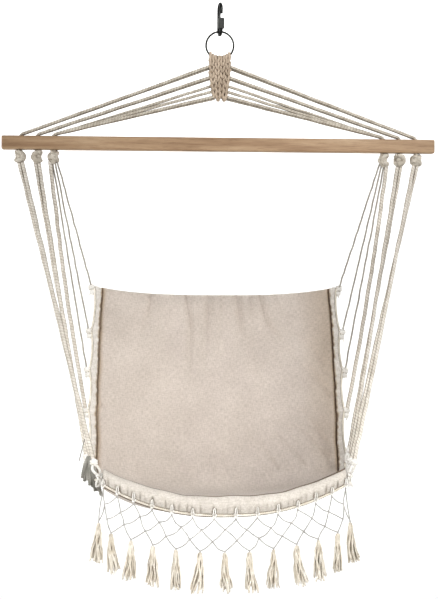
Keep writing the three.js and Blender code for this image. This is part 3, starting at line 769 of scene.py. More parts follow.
def maths(tree, way, a, b):
    made = add_node(tree, "ShaderNodeMath", operation=way)
    for socket, value in zip(made.inputs, (a, b)):
        if isinstance(value, (int, float)):
            socket.default_value = value
        else:
            tree.links.new(value, socket)
    return made.outputs["Value"]


def painted_hollow_shade(tree, color, reach):
    """The color with painted shade: darker and browner where other faces stand close."""
    near = add_node(tree, "ShaderNodeAmbientOcclusion", Distance=reach, samples=HOLLOW_SAMPLES)
    return shaded(tree, color, near.outputs["AO"], HOLLOW_PAINTED_SHADES)


def bump(tree, shader, height, distance, strength=1):
    made = add_node(tree, "ShaderNodeBump", Strength=strength, Distance=distance)
    tree.links.new(height, made.inputs["Height"])
    tree.links.new(made.outputs["Normal"], shader.inputs["Normal"])
    return made


def soft_surface(tree, shader, color, reach):
    """Cotton's soft sheen, and the colour with painted shade in its hollows."""
    tree.links.new(painted_hollow_shade(tree, color, reach), shader.inputs["Base Color"])
    shader.inputs["Sheen Weight"].default_value = SHEEN_WEIGHT
    shader.inputs["Sheen Roughness"].default_value = SHEEN_ROUGHNESS


def patches(tree, pattern, ends, dark, light, source="Object"):
    """A colour that goes from dark to light in soft patches."""
    cloud = noise(tree, place_of(tree, source=source), *pattern)
    return ramp(tree, cloud, [(ends[0], dark), (ends[1], light)])


def braid_lines(tree):
    """Two values of a braided cord: 0 between its strands and 1 on them, and 1 at its sides."""
    lay = add_node(tree, "ShaderNodeAttribute", attribute_name="lay")
    parts = add_node(tree, "ShaderNodeSeparateXYZ")
    tree.links.new(lay.outputs["Vector"], parts.inputs["Vector"])
    turn = maths(tree, "ARCTAN2", parts.outputs["Y"], parts.outputs["X"])
    gone = maths(tree, "MULTIPLY", parts.outputs["Z"], math.pi / BRAID_PITCH)
    rising = maths(tree, "SINE", maths(tree, "ADD", turn, gone), 0)
    return maths(tree, "ABSOLUTE", rising, 0), maths(tree, "ABSOLUTE", parts.outputs["Y"], 0)


def yarn_material(name, dark, light):
    """Spun cotton: fine fibres, patches a little darker and lighter, and a braid on some."""
    material, tree, shader = new_material(name, YARN_ROUGHNESS)
    fibres = noise(tree, place_of(tree), FIBRE_SCALE)
    color = patches(tree, YARN_PATCHES, YARN_PATCH_ENDS, dark, light)
    color = shaded(tree, color, fibres, FIBRE_SHADES, FIBRE_SHARE)
    height = fibres
    if name in BRAIDED_YARNS:
        strands, sides = braid_lines(tree)
        # painted shade: darker between the braid's strands and along two sides of each cord
        color = shaded(tree, color, strands, BRAID_GROOVE_PAINTED_SHADES)
        color = shaded(tree, color, sides, CORD_SIDE_PAINTED_SHADES)
        height = maths(tree, "ADD", fibres, maths(tree, "MULTIPLY", strands, BRAID_RELIEF))
    soft_surface(tree, shader, color, HOLLOW_REACH)
    bump(tree, shader, height, FIBRE_DEPTH)
    return material


def cloth_material(name, dark, light, source):
    """Plain weave in warp and weft, with thicker yarns here and there."""
    material, tree, shader = new_material(name, CLOTH_ROUGHNESS)
    place = place_of(tree, source=source)
    warp = wave(tree, place, "X", WEAVE_SCALE, WEAVE_WOBBLE)
    weft = wave(tree, place, "Y", WEAVE_SCALE, WEAVE_WOBBLE)
    weave = maths(tree, "MULTIPLY", warp, weft)
    slubs_along = noise(tree, place_of(tree, SLUBS_ALONG, source))
    slubs_across = noise(tree, place_of(tree, SLUBS_ACROSS, source))
    slubs = maths(tree, "MULTIPLY", maths(tree, "ADD", slubs_along, slubs_across), 0.5)
    color = patches(tree, CLOTH_PATCHES, CLOTH_PATCH_ENDS, dark, light, source)
    color = shaded(tree, color, slubs, SLUB_SHADES, SLUB_SHARE)
    color = shaded(tree, color, weave, WEAVE_SHADES, WEAVE_SHARE)
    # painted shade from the pad: shadow in its seams, beside them and above the roll
    painted_seam_shade = add_node(tree, "ShaderNodeAttribute", attribute_name="painted_seam_shade")
    color = shaded(tree, color, painted_seam_shade.outputs["Fac"], SEAM_PAINTED_SHADES)
    soft_surface(tree, shader, color, FOLD_REACH)
    bump(tree, shader, maths(tree, "ADD", weave, slubs), WEAVE_DEPTH)
    return material


def wood_material():
    """Light hardwood sanded smooth: long grain, pores and rounded edges."""
    material, tree, shader = new_material("oiled_wood", WOOD_ROUGHNESS)
    rings_stretch, rings_scale, rings_wobble = WOOD_RINGS
    rings = wave(tree, place_of(tree, rings_stretch), "DIAGONAL", rings_scale, rings_wobble)
    streaks = noise(tree, place_of(tree, WOOD_STREAKS[0]), *WOOD_STREAKS[1:])
    pores = noise(tree, place_of(tree, WOOD_PORES[0]), *WOOD_PORES[1:])
    color = shaded(tree, ramp(tree, streaks, WOOD_STOPS), rings, GRAIN_SHADES, GRAIN_SHARE)
    color = shaded(tree, color, pores, PORE_SHADES, PORE_SHARE)
    tree.links.new(color, shader.inputs["Base Color"])
    rounded = add_node(tree, "ShaderNodeBevel", Radius=WOOD_EDGE_RADIUS)
    relief = bump(tree, shader, pores, PORE_DEPTH, PORE_STRENGTH)
    tree.links.new(rounded.outputs["Normal"], relief.inputs["Normal"])
    return material


def steel_material(name, color, roughness):
    """Plated steel with fine scratches and a duller patch here and there."""
    material, tree, shader = new_material(name, roughness, 1)
    dull = tuple(part * STEEL_DULL_SHARE for part in color)
    patchy = patches(tree, STEEL_PATCHES, STEEL_PATCH_ENDS, dull, color)
    scratches = noise(tree, place_of(tree, STEEL_SCRATCHES))
    tree.links.new(patchy, shader.inputs["Base Color"])
    bump(tree, shader, scratches, SCRATCH_DEPTH, SCRATCH_STRENGTH)
    return material


looks = {"oiled_wood": wood_material()}
makers = [(CLOTHS, cloth_material), (STEELS, steel_material), (YARN_COLORS, yarn_material)]
for table, make in makers:
    looks.update({name: make(name, *values) for name, values in table.items()})


# Link, nut and ring

def bow(first, last, middle_z):
    turns = np.radians(np.linspace(first, last, BOW_STEPS))
    return np.stack([0 * turns, LINK_BOW * np.cos(turns), middle_z + LINK_BOW * np.sin(turns)], 1)


def link_path():
    ends = [[(0, -LINK_BOW, LINK_GAP_LOW_Z)], [(0, -LINK_BOW, LINK_GAP_TOP_Z)]]
    bows = [bow(180, 360, LINK_LOW_BOW_Z), bow(0, 180, LINK_TOP_BOW_Z)]
    return spaced(np.vstack([ends[0], *bows, ends[1]]), THREAD_PITCH / THREAD_STEPS)


def thread_radius(path):
    """The bar's radius, with thread ridges near both open ends."""
    z = path[:, 2]
    near = (path[:, 1] < 0) & (np.abs(z - (LINK_GAP_LOW_Z + LINK_GAP_TOP_Z) / 2) < THREAD_REACH)
    ridges = THREAD_DEPTH * (0.5 + 0.5 * np.cos(2 * math.pi * z / THREAD_PITCH))
    radius = LINK_RADIUS - near * ridges
    radius[[0, -1]] -= THREAD_DEPTH
    return radius


def nut_rings():
    """Rings of the nut from its bore's foot, out and up round the flats, and back to the start."""
    turn = np.radians(np.arange(0, 360, NUT_STEP_DEGREES))
    flat = NUT_FLATS / 2 / np.cos((turn + math.pi / 6) % (math.pi / 3) - math.pi / 6)
    round_end = np.minimum(flat, NUT_FLATS / 2)
    bore = 0 * turn + NUT_BORE_RADIUS
    low, top = NUT_TOP_Z - NUT_LENGTH, NUT_TOP_Z
    levels = [(bore, low), (round_end, low), (flat, low + NUT_CHAMFER), (flat, top - NUT_CHAMFER)]
    levels += [(round_end, top), (bore, top), (bore, low)]
    rings = []
    for r, z in levels:
        rings.append(np.stack([r * np.cos(turn), r * np.sin(turn) - LINK_BOW, 0 * turn + z], 1))
    return np.array(rings)


def turned(points, turn):
    """The points turned about the upright axis through the origin."""
    x, y, z = np.moveaxis(points, -1, 0)
    ahead, aside = math.cos(turn), math.sin(turn)
    return np.stack([x * ahead - y * aside, x * aside + y * ahead, z], -1)


def make_metal():
    shell = Shell()
    path = link_path()
    shell.tube(turned(path, LINK_TURN), thread_radius(path), LINK_SIDES)
    shell.build("bent_link", ["link_steel"], "link", "quick_link")
    shell = Shell()
    shell.grid(turned(nut_rings(), LINK_TURN), caps=False)
    sleeve = shell.build("hex_sleeve", ["nut_steel"], "nut", "link_nut")
    smooth(sleeve.data, False)
    shell = Shell()
    turns = np.linspace(0, 2 * math.pi, RING_STEPS)
    x, z = RING_RADIUS * np.sin(turns), RING_CENTRE_Z + RING_RADIUS * np.cos(turns)
    shell.tube(np.stack([x, 0 * turns, z], 1), RING_WIRE_RADIUS, RING_SIDES)
    shell.build("wire_ring", ["link_steel"], "ring", "ring")


# Neck: bights that lie over each other like scales, and strands that go over the ring

def neck_half(z):
    taper = np.clip((NECK_TAPER_Z - z) / (NECK_TAPER_Z - NECK_LOW_ROW_Z), 0, 1)
    return NECK_TOP_HALF + (NECK_LOW_HALF - NECK_TOP_HALF) * taper


def neck_bight(x, z, face, way):
    """One leg of a stitch: it comes out of the neck, swells, and goes back in under the next."""
    turns = np.linspace(0, math.pi, BIGHT_STEPS)
    y = face * (NECK_CORE_DEEP * NECK_ROOT_SHARE + NECK_BULGE * np.sin(turns))
    across = x + way * (NECK_LOBE_APART + NECK_LOBE_LEAN * np.cos(turns))
    return np.stack([across, y, z + NECK_LOBE_HALF * np.cos(turns)], 1)


def neck_over_ring(x):
    """A strand from the neck's front, over the ring and down its back."""
    wire_z = RING_CENTRE_Z - math.sqrt(RING_RADIUS ** 2 - x ** 2)
    turns = np.radians(np.linspace(0, 180, NECK_TURN_STEPS))
    y = -NECK_TURN_RADIUS * np.cos(turns)
    over = np.stack([0 * turns + x, y, wire_z + NECK_TURN_RADIUS * np.sin(turns)], 1)
    foot = wire_z - NECK_PLAIN
    return spaced(np.vstack([[(x, y[0], foot)], over, [(x, y[-1], foot)]]), NECK_TURN_STEP)


def neck_core(shell):
    """The cords that run down inside the neck, drawn together."""
    turn = full_turn(CORE_SIDES)
    rings = []
    for z in np.linspace(NECK_TOP_ROW_Z, NECK_LOW_ROW_Z, CORE_RINGS):
        half = neck_half(z) - NECK_LOBE * CORE_IN_SHARE
        x = half * np.sign(np.cos(turn)) * np.abs(np.cos(turn)) ** CORE_SQUARENESS
        rings.append(np.stack([x, NECK_CORE_DEEP * np.sin(turn), 0 * turn + z], 1))
    shell.grid(np.array(rings))


def neck_stitches(shell, column):
    """One column of stitches, on the neck's front and on its back."""
    for row in range(NECK_ROWS + column % 2):
        at = (row + (1 - column % 2) / 2) / NECK_ROWS
        z = NECK_TOP_ROW_Z + (NECK_LOW_ROW_Z - NECK_TOP_ROW_Z) * at
        outermost = neck_half(z) - NECK_LOBE - NECK_LOBE_APART
        x = (2 * column / (NECK_COLUMNS - 1) - 1) * outermost
        for face, way in ((-1, -1), (-1, 1), (1, -1), (1, 1)):
            radius = NECK_LOBE * rng.uniform(*NECK_FULLNESS_SHARES)
            shell.rope(neck_bight(x, z, face, way), radius, NECK_LAY_PITCH, rng.random())


def neck_ring_strands(shell, column):
    middle = (column - (NECK_RING_COLUMNS - 1) / 2) * NECK_RING_PITCH
    lay = (STRANDS, NECK_LAY_PITCH, NECK_GROOVE_SHARE)
    for strand in (-1, 1):
        path = neck_over_ring(middle + strand * NECK_STRAND * NECK_APART_SHARE)
        shell.tube(path, NECK_STRAND, ROUND_SIDES, *lay, rng.random())


def make_neck():
    shell = Shell()
    for column in range(NECK_COLUMNS):
        neck_stitches(shell, column)
    for column in range(NECK_RING_COLUMNS):
        neck_ring_strands(shell, column)
    # the core in near-black brown: painted shade in the gaps between the bights
    shell.kind = 1
    neck_core(shell)
    shell.build("plaited_neck", ["braid_yarn", "core_yarn"], "spreader", "macrame_neck")


# Bridle cords and stopper knots

def trefoil(middle, reach, deep, turn=0):
    """The line of an overhand knot drawn tight, seen from the front."""
    t = np.linspace(0, 2 * math.pi, KNOT_STEPS) + turn
    x = reach * (np.sin(t) + 2 * np.sin(2 * t))
    z = reach * (np.cos(t) - 2 * np.cos(2 * t))
    return np.stack([x, -deep * np.sin(3 * t), z], 1) + np.array(middle)


def hole_x(hole):
    return BAR_HALF - HOLE_INSET - list(HOLES).index(hole) * HOLE_PITCH


def hole_places(count):
    half = CORD_SPACING / 2
    if count == 2:
        return [(0, -half), (0, half)]
    return [(half, half), (half, -half), (-half, -half), (-half, half)]


def shift(places, size):
    """Moves the places a little, each its own way."""
    for place in places:
        place += [rng.uniform(-size, size) for _ in range(3)]


def wobbly(path, size):
    """The path with its inner points moved a little."""
    shift(path[1:-1], size)
    return path


def bridle_path(side, x, start, place):
    out_share, down_share = start
    along, y = place
    mouth = []
    for back, rise, out, sink in MOUTH_SHARES:
        z = BAR_TOP_Z + rise * MOUTH_RISE - sink * BAR_HEIGHT
        mouth.append([side * (x - back * MOUTH_BACK + out * along), y, z])
    z = NECK_TOP_Z + (NECK_FOOT_Z - NECK_TOP_Z) * down_share
    neck = [side * (out_share * NECK_OUT - TUCK), y, z]
    stretch = wobbly(np.linspace(neck, mouth[0], BRIDLE_STEPS), BRIDLE_WOBBLE)
    return spline(np.vstack([stretch, mouth[1:]]), BRIDLE_CURVE_STEPS)


def stopper(shell, middle, spin):
    """An overhand knot drawn tight: wraps tilted against each other, round the cords' core."""
    middle = np.array(middle)
    t = np.linspace(0, 2 * math.pi, KNOT_STEPS)
    for lift, tilt, reach in KNOT_WRAPS:
        lean = math.radians(tilt)
        x = reach * np.cos(t) * math.cos(lean)
        z = lift + reach * np.cos(t) * math.sin(lean)
        ring = turned(np.stack([x, reach * np.sin(t), z], 1), spin)
        shell.rope(ring + middle, KNOT_STRAND, KNOT_LAY_PITCH, rng.random())
    shell.lump(middle, KNOT_CORE)


def make_bridles():
    for side_name, side in SIDES.items():
        for hole, starts in HOLES.items():
            shell = Shell()
            x = hole_x(hole)
            for start, place in zip(starts, hole_places(len(starts))):
                shell.braid(bridle_path(side, x, start, place), CORD_RADIUS)
            shell.kind = 1
            knot = (side * x, 0, BAR_TOP_Z - BAR_HEIGHT - KNOT_MIDDLE_DROP)
            stopper(shell, knot, rng.uniform(0, 2 * math.pi))
            place = f"{side_name}_{hole}"
            materials = ["bridle_yarn", "cord_yarn"]
            shell.build(f"bridle_rope_{place}", materials, "spreader", f"bridle_{place}")


# Suspension cords and side edges

def seat_place(shares):
    x, y, z = shares
    return np.array([x * SEAT_HALF, y * SEAT_REACH + SEAT_SHIFT, -z * SEAT_DROP])


def tie_place(side, shares):
    place = seat_place(shares)
    place[0] = side * (place[0] + EDGE_GAP + EDGE_KNOT)
    return place


def suspension_path(side, hole, row_place, shares, cord_bow):
    x = side * (hole_x(hole) + row_place * CORD_SPACING)
    start = np.array([x, 0, HINGE_Z + HANG_START_RISE])
    end = tie_place(side, shares)
    share = np.linspace(0, 1, HANG_STEPS)[:, None]
    out = np.array([side * cord_bow, 0, 0])
    path = start + (end - start) * share + out * np.sin(math.pi * share)
    return spline(wobbly(path, HANG_WOBBLE), HANG_CURVE_STEPS)


def make_suspension():
    for side_name, side in SIDES.items():
        for i, (hole, row_place, width, shares, _, cord_bow) in enumerate(TIES):
            shell = Shell()
            path = suspension_path(side, hole, row_place, shares, cord_bow)
            shell.braid(path, width * HANG_RADIUS)
            place = f"{side_name}_{i + 1}"
            yarn = "thin_yarn" if width == THIN_SHARE else "hanging_yarn"
            shell.build(f"hanging_rope_{place}", [yarn], "seat", f"suspension_cord_{place}")


def side_edge(steps=PAD_PATH_STEPS):
    return spline([seat_place(shares) for shares in SIDE_EDGE_SHARES], steps)


def edge_path(side):
    """The hem cord, drawn out at each knot and falling in between them."""
    path = side_edge(EDGE_STEPS)
    drawn_in = EDGE_SCALLOP * knot_gaps(path_lengths(path))
    path[:, 0] = side * (path[:, 0] + EDGE_GAP + EDGE_CORD_RADIUS - drawn_in)
    return path


def small_knot(shell, middle, size):
    """A tight little overhand knot."""
    reach, deep, radius, pitch = [size * share for share in SMALL_KNOT_SHARES]
    shell.rope(trefoil(middle, reach, deep, rng.uniform(0, 3)), radius, pitch)


def tie_knot(shell, middle):
    """A fat white knot: a round core with two wraps."""
    shell.lump(middle, [TIE_KNOT * share for share in TIE_CORE_SHARES])
    wide, deep, radius = [TIE_KNOT * share for share in TIE_WRAP_SHARES]
    turn = np.linspace(0, 2 * math.pi, KNOT_STEPS)
    for lean in [rng.uniform(*leans) for leans in TIE_WRAP_LEANS]:
        x = wide * np.cos(turn)
        ring = np.stack([x, deep * np.sin(turn), lean * x], 1)
        shell.tube(ring + middle, radius)


def tail(shell, start, reach, drop, radius):
    """A short loose end that curls as it hangs."""
    points = [np.array(start)]
    for share in TAIL_POINT_SHARES:
        x = reach * share + rng.uniform(-1, 1) * TAIL_CURL_X
        curl = np.array([x, rng.uniform(-1, 1) * TAIL_CURL_Y, -drop * share])
        points.append(np.array(start) + curl)
    shell.rope(spline(points), radius, LOOP_PITCH)


def tie_loop(shell, side, knot, foot):
    for way in (-1, 1):
        end = foot + np.array([0, way * LOOP_SPREAD, 0])
        bend = np.array([side * LOOP_OUT + way * LOOP_WIDE, way * LOOP_DEEP, 0])
        shell.rope(spline([knot, (knot + end) / 2 + bend, end]), LOOP_RADIUS, LOOP_PITCH)


def make_bunch():
    """Cord ends that hang in a bunch behind the left corner, and one stray end beside them."""
    shell = Shell()
    low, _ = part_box("side_cord_left")
    corner = np.array([low[0] + BUNCH_IN, BUNCH_Y, BUNCH_TOP_Z])
    out_share, down_share = BUNCH_BEND_SHARES
    for reach, drop in BUNCH_ENDS:
        bend = [reach * out_share, rng.uniform(-1, 1) * BUNCH_RADIUS, -drop * down_share]
        end = [reach, rng.uniform(-1, 1) * BUNCH_RADIUS, -drop]
        path = spline([corner, corner + np.array(bend), corner + np.array(end)])
        shell.rope(path, BUNCH_RADIUS, BUNCH_PITCH, rng.random())
    start, reach = corner + np.array(STRAY_START), np.array(STRAY_REACH)
    shell.rope(spline([start, start + reach / 2, start + reach]), TAIL_RADIUS, LOOP_PITCH)
    # dark grey yarn: painted shade for the ends hanging in shadow
    shell.build("loose_ends", ["shaded_yarn"], "seat")


def tie_cord(shell, side, path, shares, is_looped):
    """One hanging cord's knot, with its two loops round the hem cord or its loose end."""
    knot = tie_place(side, shares)
    tie_knot(shell, knot)
    if is_looped:
        low = path[path[:, 2] < knot[2]]
        tie_loop(shell, side, knot, low[np.argmin(np.abs(low[:, 1] - knot[1]))])
    else:
        tie_knot(shell, knot - np.array([side * SECOND_KNOT_IN, 0, SECOND_KNOT_DROP]))
        reach = side * rng.uniform(0, TAIL_REACH)
        tail(shell, knot, reach, rng.uniform(*TAIL_DROPS), TAIL_RADIUS)


def make_side_cords():
    for side_name, side in SIDES.items():
        shell = Shell()
        path = edge_path(side)
        path[:, 0] -= side * EDGE_SUNK
        shell.tube(spaced(path, EDGE_RING_STEP), EDGE_CORD_RADIUS, ROUND_SIDES)
        shell.kind = 1
        for _, _, _, shares, is_looped, _ in TIES:
            tie_cord(shell, side, path, shares, is_looped)
        corner = path[-1] + np.array([side * CORNER_KNOT_OUT, 0, 0])
        small_knot(shell, corner, CORNER_KNOT)
        for reach in CORNER_TAILS:
            tail(shell, corner, side * reach, CORNER_TAIL_DROP, LOOP_RADIUS)
        materials = ["pale_yarn", "white_yarn"]
        shell.build(f"edge_rope_{side_name}", materials, "seat", f"side_cord_{side_name}")


# Pad

def along(table, share):
    """Values of a table that has one entry per point of the side edge."""
    return np.interp(share * (len(table) - 1), np.arange(len(table)), table)


def edge_at(share):
    """For each share of the side edge: the place there, and the direction down the edge."""
    path = side_edge()
    down = np.gradient(path, axis=0) * np.array([0, 1, 1])
    down /= np.linalg.norm(down, axis=1)[:, None]
    at = share * (len(path) - 1)
    index = np.arange(len(path))
    place = np.stack([np.interp(at, index, path[:, k]) for k in range(3)], -1)
    return place, np.stack([np.interp(at, index, down[:, k]) for k in range(3)], -1)


def edge_gone(share):
    """How far down the side edge each share of it lies."""
    gone = path_lengths(side_edge())
    return np.interp(share * (len(gone) - 1), np.arange(len(gone)), gone)


def crease_of(across):
    return np.where(across < 0, CREASE_SHARES[-1], CREASE_SHARES[1])


def end_distance(share):
    return np.minimum(edge_gone(share), edge_gone(1) - edge_gone(share))


def rounding(share):
    """From 0 at the pad's ends to 1 where its rounded rim ends."""
    return np.sqrt(1 - (1 - np.clip(end_distance(share) / PAD_END_ROUND, 0, 1)) ** 2)


def pad_thickness(share, across):
    place, _ = edge_at(share)
    crease = crease_of(across)
    crown = np.sqrt(1 - np.minimum(1, np.abs(across) / crease) ** PAD_CROWN_POWER)
    reach = np.clip(end_distance(share) / PAD_END_REACH, 0, 1)
    full = PAD_END_THICK + (PAD_THICK - PAD_END_THICK) * reach
    off = (np.abs(across) - crease) * place[..., 0]
    slot = 1 - CREASE_SLOT_SHARE * np.exp(-(off / CREASE_WIDTH) ** 2)
    thick = (PAD_RIM_THICK + (full - PAD_RIM_THICK) * crown) * slot
    return PAD_LIP_THICK + (thick - PAD_LIP_THICK) * rounding(share)


def pad_points(share, across, face):
    """Places on the front face of the pad for face -1, or on its back for 1."""
    place, down = edge_at(share)
    out = np.stack([0 * share, -down[..., 2], down[..., 1]], -1)
    sag = along(PAD_SAGS, share) * (1 - np.abs(across) ** along(PAD_SAG_POWERS, share))
    dip = PAD_TOP_DIP * (1 - across ** 2) * np.clip(1 - share / PAD_DIP_SHARE, 0, 1)
    dip = dip - PAD_TOP_RISE * (1 - rounding(share)) * (share < 0.5)
    half = face * pad_thickness(share, across) / 2
    point = place * np.stack([across, 0 * across + 1, 0 * across + 1], -1)
    return point + out * (sag + half)[..., None] + down * dip[..., None]


def pad_rows():
    ends = np.array(PAD_END_ROWS)
    inner = np.linspace(PAD_END_ROWS[-1], 1 - PAD_END_ROWS[-1], PAD_ROWS)
    return np.concatenate([[0], ends[:-1], inner, 1 - ends[-2::-1], [1]])


def pad_columns():
    """Columns from the right edge to the left, closer together beside the creases."""
    sides = {}
    for side, crease in CREASE_SHARES.items():
        near = [crease + step for step in CREASE_COLUMNS]
        sides[side] = near + list(np.linspace(near[-1], 1, WING_COLUMNS)[1:])
    inner = np.linspace(-sides[-1][0], sides[1][0], PAD_COLUMNS)
    left = [-share for share in sides[-1][::-1]]
    return np.array(left[:-1] + list(inner) + sides[1][1:])[::-1]


def pad_mesh():
    """The pad as rings of points round its front and back, with its cloth's flat coordinates."""
    rows, columns = pad_rows(), pad_columns()
    share, across = np.meshgrid(rows, columns, indexing="ij")
    front = pad_points(share, across, -1)
    back = pad_points(share, across, 1)[:, ::-1]
    shell = Shell()
    shell.grid(np.concatenate([front, back], axis=1), caps=False)
    sides = 2 * len(columns)
    last = (len(rows) - 1) * sides
    for j in range(len(columns) - 1):
        a, b, c, d = j, j + 1, sides - 2 - j, sides - 1 - j
        shell.faces.append((d, c, b, a))
        shell.faces.append((last + a, last + b, last + c, last + d))
    shell.kinds = [0] * len(shell.faces)
    piece = shell.build("sewn_pad", ["canvas_weave", "wing_weave"], "seat", "pad")
    flat = np.stack([across * edge_at(share)[0][..., 0], edge_gone(share)], -1)
    flat = np.concatenate([flat, flat[:, ::-1]], axis=1).reshape(-1, 2)
    mesh = piece.data
    layer = mesh.uv_layers.new(name="flat")
    layer.data.foreach_set("uv", flat[corners_of(mesh)].ravel())
    return piece


def corners_of(mesh):
    corner = np.zeros(len(mesh.loops), int)
    mesh.loops.foreach_get("vertex_index", corner)
    return corner


def mark_wings(mesh):
    """Faces outside the creases get the canvas made lighter: painted light on the wings."""
    coordinates = read_flat(mesh)
    share, across = place_on_pad(coordinates)
    is_wing = np.abs(across) > crease_of(across)
    for face in mesh.polygons:
        face.material_index = int(np.mean(is_wing[list(face.vertices)]) > 0.5)


def read_flat(mesh):
    """The flat coordinates of each point of a pad mesh."""
    layer = np.zeros(2 * len(mesh.loops))
    mesh.uv_layers["flat"].data.foreach_get("uv", layer)
    flat = np.zeros((len(mesh.vertices), 2))
    flat[corners_of(mesh)] = layer.reshape(-1, 2)
    return flat


def place_on_pad(flat):
    """Share down the side edge and share across, from flat coordinates."""
    shares = np.linspace(0, 1, PAD_PATH_SHARES)
    share = np.interp(flat[:, 1], edge_gone(shares), shares)
    return share, flat[:, 0] / edge_at(share)[0][:, 0]


def apply_all(piece):
    """The piece's modifiers, made part of its mesh."""
    graph = bpy.context.evaluated_depsgraph_get()
    made = bpy.data.meshes.new_from_object(piece.evaluated_get(graph))
    piece.modifiers.clear()
    piece.data = made


def read_vectors(mesh, name):
    flat = np.zeros(len(mesh.vertices) * 3)
    mesh.vertices.foreach_get(name, flat)
    return flat.reshape(-1, 3)


def set_points(mesh, points):
    mesh.vertices.foreach_set("co", points.ravel())
    mesh.update()


def hold_seams(piece):
    """A group of points that holds the pad at its seams and lets it go between them."""
    share, across = place_on_pad(read_flat(piece.data))
    to_seam = np.minimum((crease_of(across) - np.abs(across)) * SEAT_HALF, end_distance(share))
    weights = 1 - np.clip(to_seam / PAD_HELD_REACH, 0, 1)
    group = piece.vertex_groups.new(name=PAD_CLOTH["vertex_group_mass"])
    for i, weight in enumerate(weights):
        group.add([i], float(weight), "REPLACE")


def inflate(piece):
    """Blows the pad up a little between its seams, so that its cover pulls into soft wrinkles."""
    start = read_vectors(piece.data, "co")
    hold_seams(piece)
    cloth = piece.modifiers.new("inflate", "CLOTH")
    for name, value in PAD_CLOTH.items():
        setattr(cloth.settings, name, value)
    cloth.settings.effector_weights.gravity = 0
    cloth.point_cache.frame_start = 1
    cloth.point_cache.frame_end = PAD_FRAMES
    for step in range(1, PAD_FRAMES + 1):
        bpy.context.scene.frame_set(step)
    apply_all(piece)
    bpy.context.scene.frame_set(1)
    move = read_vectors(piece.data, "co") - start
    far = np.linalg.norm(move, axis=1)[:, None]
    set_points(piece.data, start + move * np.minimum(1, PAD_MOST_MOVE / np.maximum(far, 1e-9)))


def line_distance(x, z, line):
    """Distance of each point from a line of places, and its share of the line's length."""
    line = np.array(line)
    gone = path_lengths(line)
    best = np.full(len(x), np.inf)
    share = np.zeros(len(x))
    for a, b, start, end in zip(line, line[1:], gone, gone[1:]):
        way = (b - a) / (end - start)
        slip = np.clip((x - a[0]) * way[0] + (z - a[1]) * way[1], 0, end - start)
        off = np.hypot(x - a[0] - slip * way[0], z - a[1] - slip * way[1])
        nearer = off < best
        best[nearer] = off[nearer]
        share[nearer] = (start + slip[nearer]) / gone[-1]
    return best, share


def fold_height(x, z):
    height = np.zeros_like(x)
    for line, width, high in FOLDS:
        off, share = line_distance(x, z, line)
        height += high * (1 - share) ** FOLD_FADE * np.exp(-(off / width) ** 2)
    return height


def knot_gaps(gone):
    """1 half way between the knots of the side edge, falling to 0 at each knot."""
    path = side_edge()
    lengths = path_lengths(path)
    knots = [lengths[np.argmin(np.linalg.norm(path - seat_place(tie[3]), axis=1))] for tie in TIES]
    return 1 - np.exp(-np.min([np.abs(gone - knot) for knot in knots], axis=0) / EDGE_PULL)


def shape_pad(mesh, gone, wing, across, faces_front):
    """Folds, crumpled wings drawn in between the knots, and the top's hem."""
    points = read_vectors(mesh, "co")
    normals = read_vectors(mesh, "normal")
    points[:, 1] -= fold_height(points[:, 0], points[:, 2]) * faces_front
    hem = np.exp(-((gone - HEM_DROP) / HEM_WIDTH) ** 2) * faces_front
    crumple = sum(np.sin(gone * a + b * wing + c * across) for a, b, c in CRUMPLE_WAVES)
    lift = WING_CRUMPLE * crumple * np.sin(math.pi * wing) - HEM_DEPTH * hem
    points += normals * lift[:, None]
    points[:, 0] -= np.sign(across) * EDGE_SCALLOP * knot_gaps(gone) * wing
    set_points(mesh, points)


def paint_pad_shade(mesh, gone, off, across, faces_front):
    """Painted shade for the cloth: shadow in the seams, soft shade beside them and above the roll.
    """
    off = off + SEAM_WANDER * sum(np.sin(gone * a + b) for a, b in SEAM_WAVES)
    wide = np.where(across > 0, SEAM_RIGHT_WIDTH, SEAM_LEFT_WIDTH)
    line = np.exp(-(off / wide) ** 2) * np.where(across > 0, 1, SEAM_LEFT_SHADE)
    flank = FLANK_SHADE * np.exp(-(np.maximum(-off, 0) / FLANK_WIDTH) ** 2) * (off < 0)
    at_front = FRONT_SHADE * np.exp(-((edge_gone(1) - gone) / FRONT_SHADE_REACH) ** 2)
    at_front = at_front * (1 - FRONT_SHADE_LEAN + FRONT_SHADE_LEAN * across)
    at_right = RIGHT_SHADE * np.exp(-(off / RIGHT_SHADE_REACH) ** 2) * (off < 0) * (across > 0)
    at_right = at_right * np.clip(RIGHT_SHADE_END_SHARE - gone / edge_gone(1), 0, 1)
    painted_seam_shade = mesh.attributes.new("painted_seam_shade", "FLOAT", "POINT")
    values = np.maximum.reduce([line, flank, at_right, at_front * faces_front])
    painted_seam_shade.data.foreach_set("value", values)


def work_pad(mesh):
    flat = read_flat(mesh)
    share, across = place_on_pad(flat)
    gone = flat[:, 1]
    faces_front = np.clip(-read_vectors(mesh, "normal")[:, 1] * FRONT_FACING, 0, 1)
    crease = crease_of(across)
    wing = np.clip((np.abs(across) - crease) / (1 - crease), 0, 1)
    shape_pad(mesh, gone, wing, across, faces_front)
    off = (np.abs(across) - crease) * edge_at(share)[0][:, 0]
    paint_pad_shade(mesh, gone, off, across, faces_front)


def make_pad():
    piece = pad_mesh()
    inflate(piece)
    mark_wings(piece.data)
    finer = piece.modifiers.new("finer", "SUBSURF")
    finer.levels = 2
    apply_all(piece)
    work_pad(piece.data)
    smooth(piece.data)


# Front roll, its cord, net and tassels

def front_bow(share):
    return 1 - np.abs(share) ** FRONT_POWER


def front_y(share):
    """The depth of the front cord: furthest forward in its middle."""
    low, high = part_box("front_cord")
    ends = high[1] - FRONT_KNOT_RADIUS
    middle = low[1] + FRONT_KNOT_RADIUS
    return ends + (middle - ends) * front_bow(share)


def front_share(i, steps):
    return math.sin(FRONT_BEND * (2 * i / steps - 1)) / math.sin(FRONT_BEND)


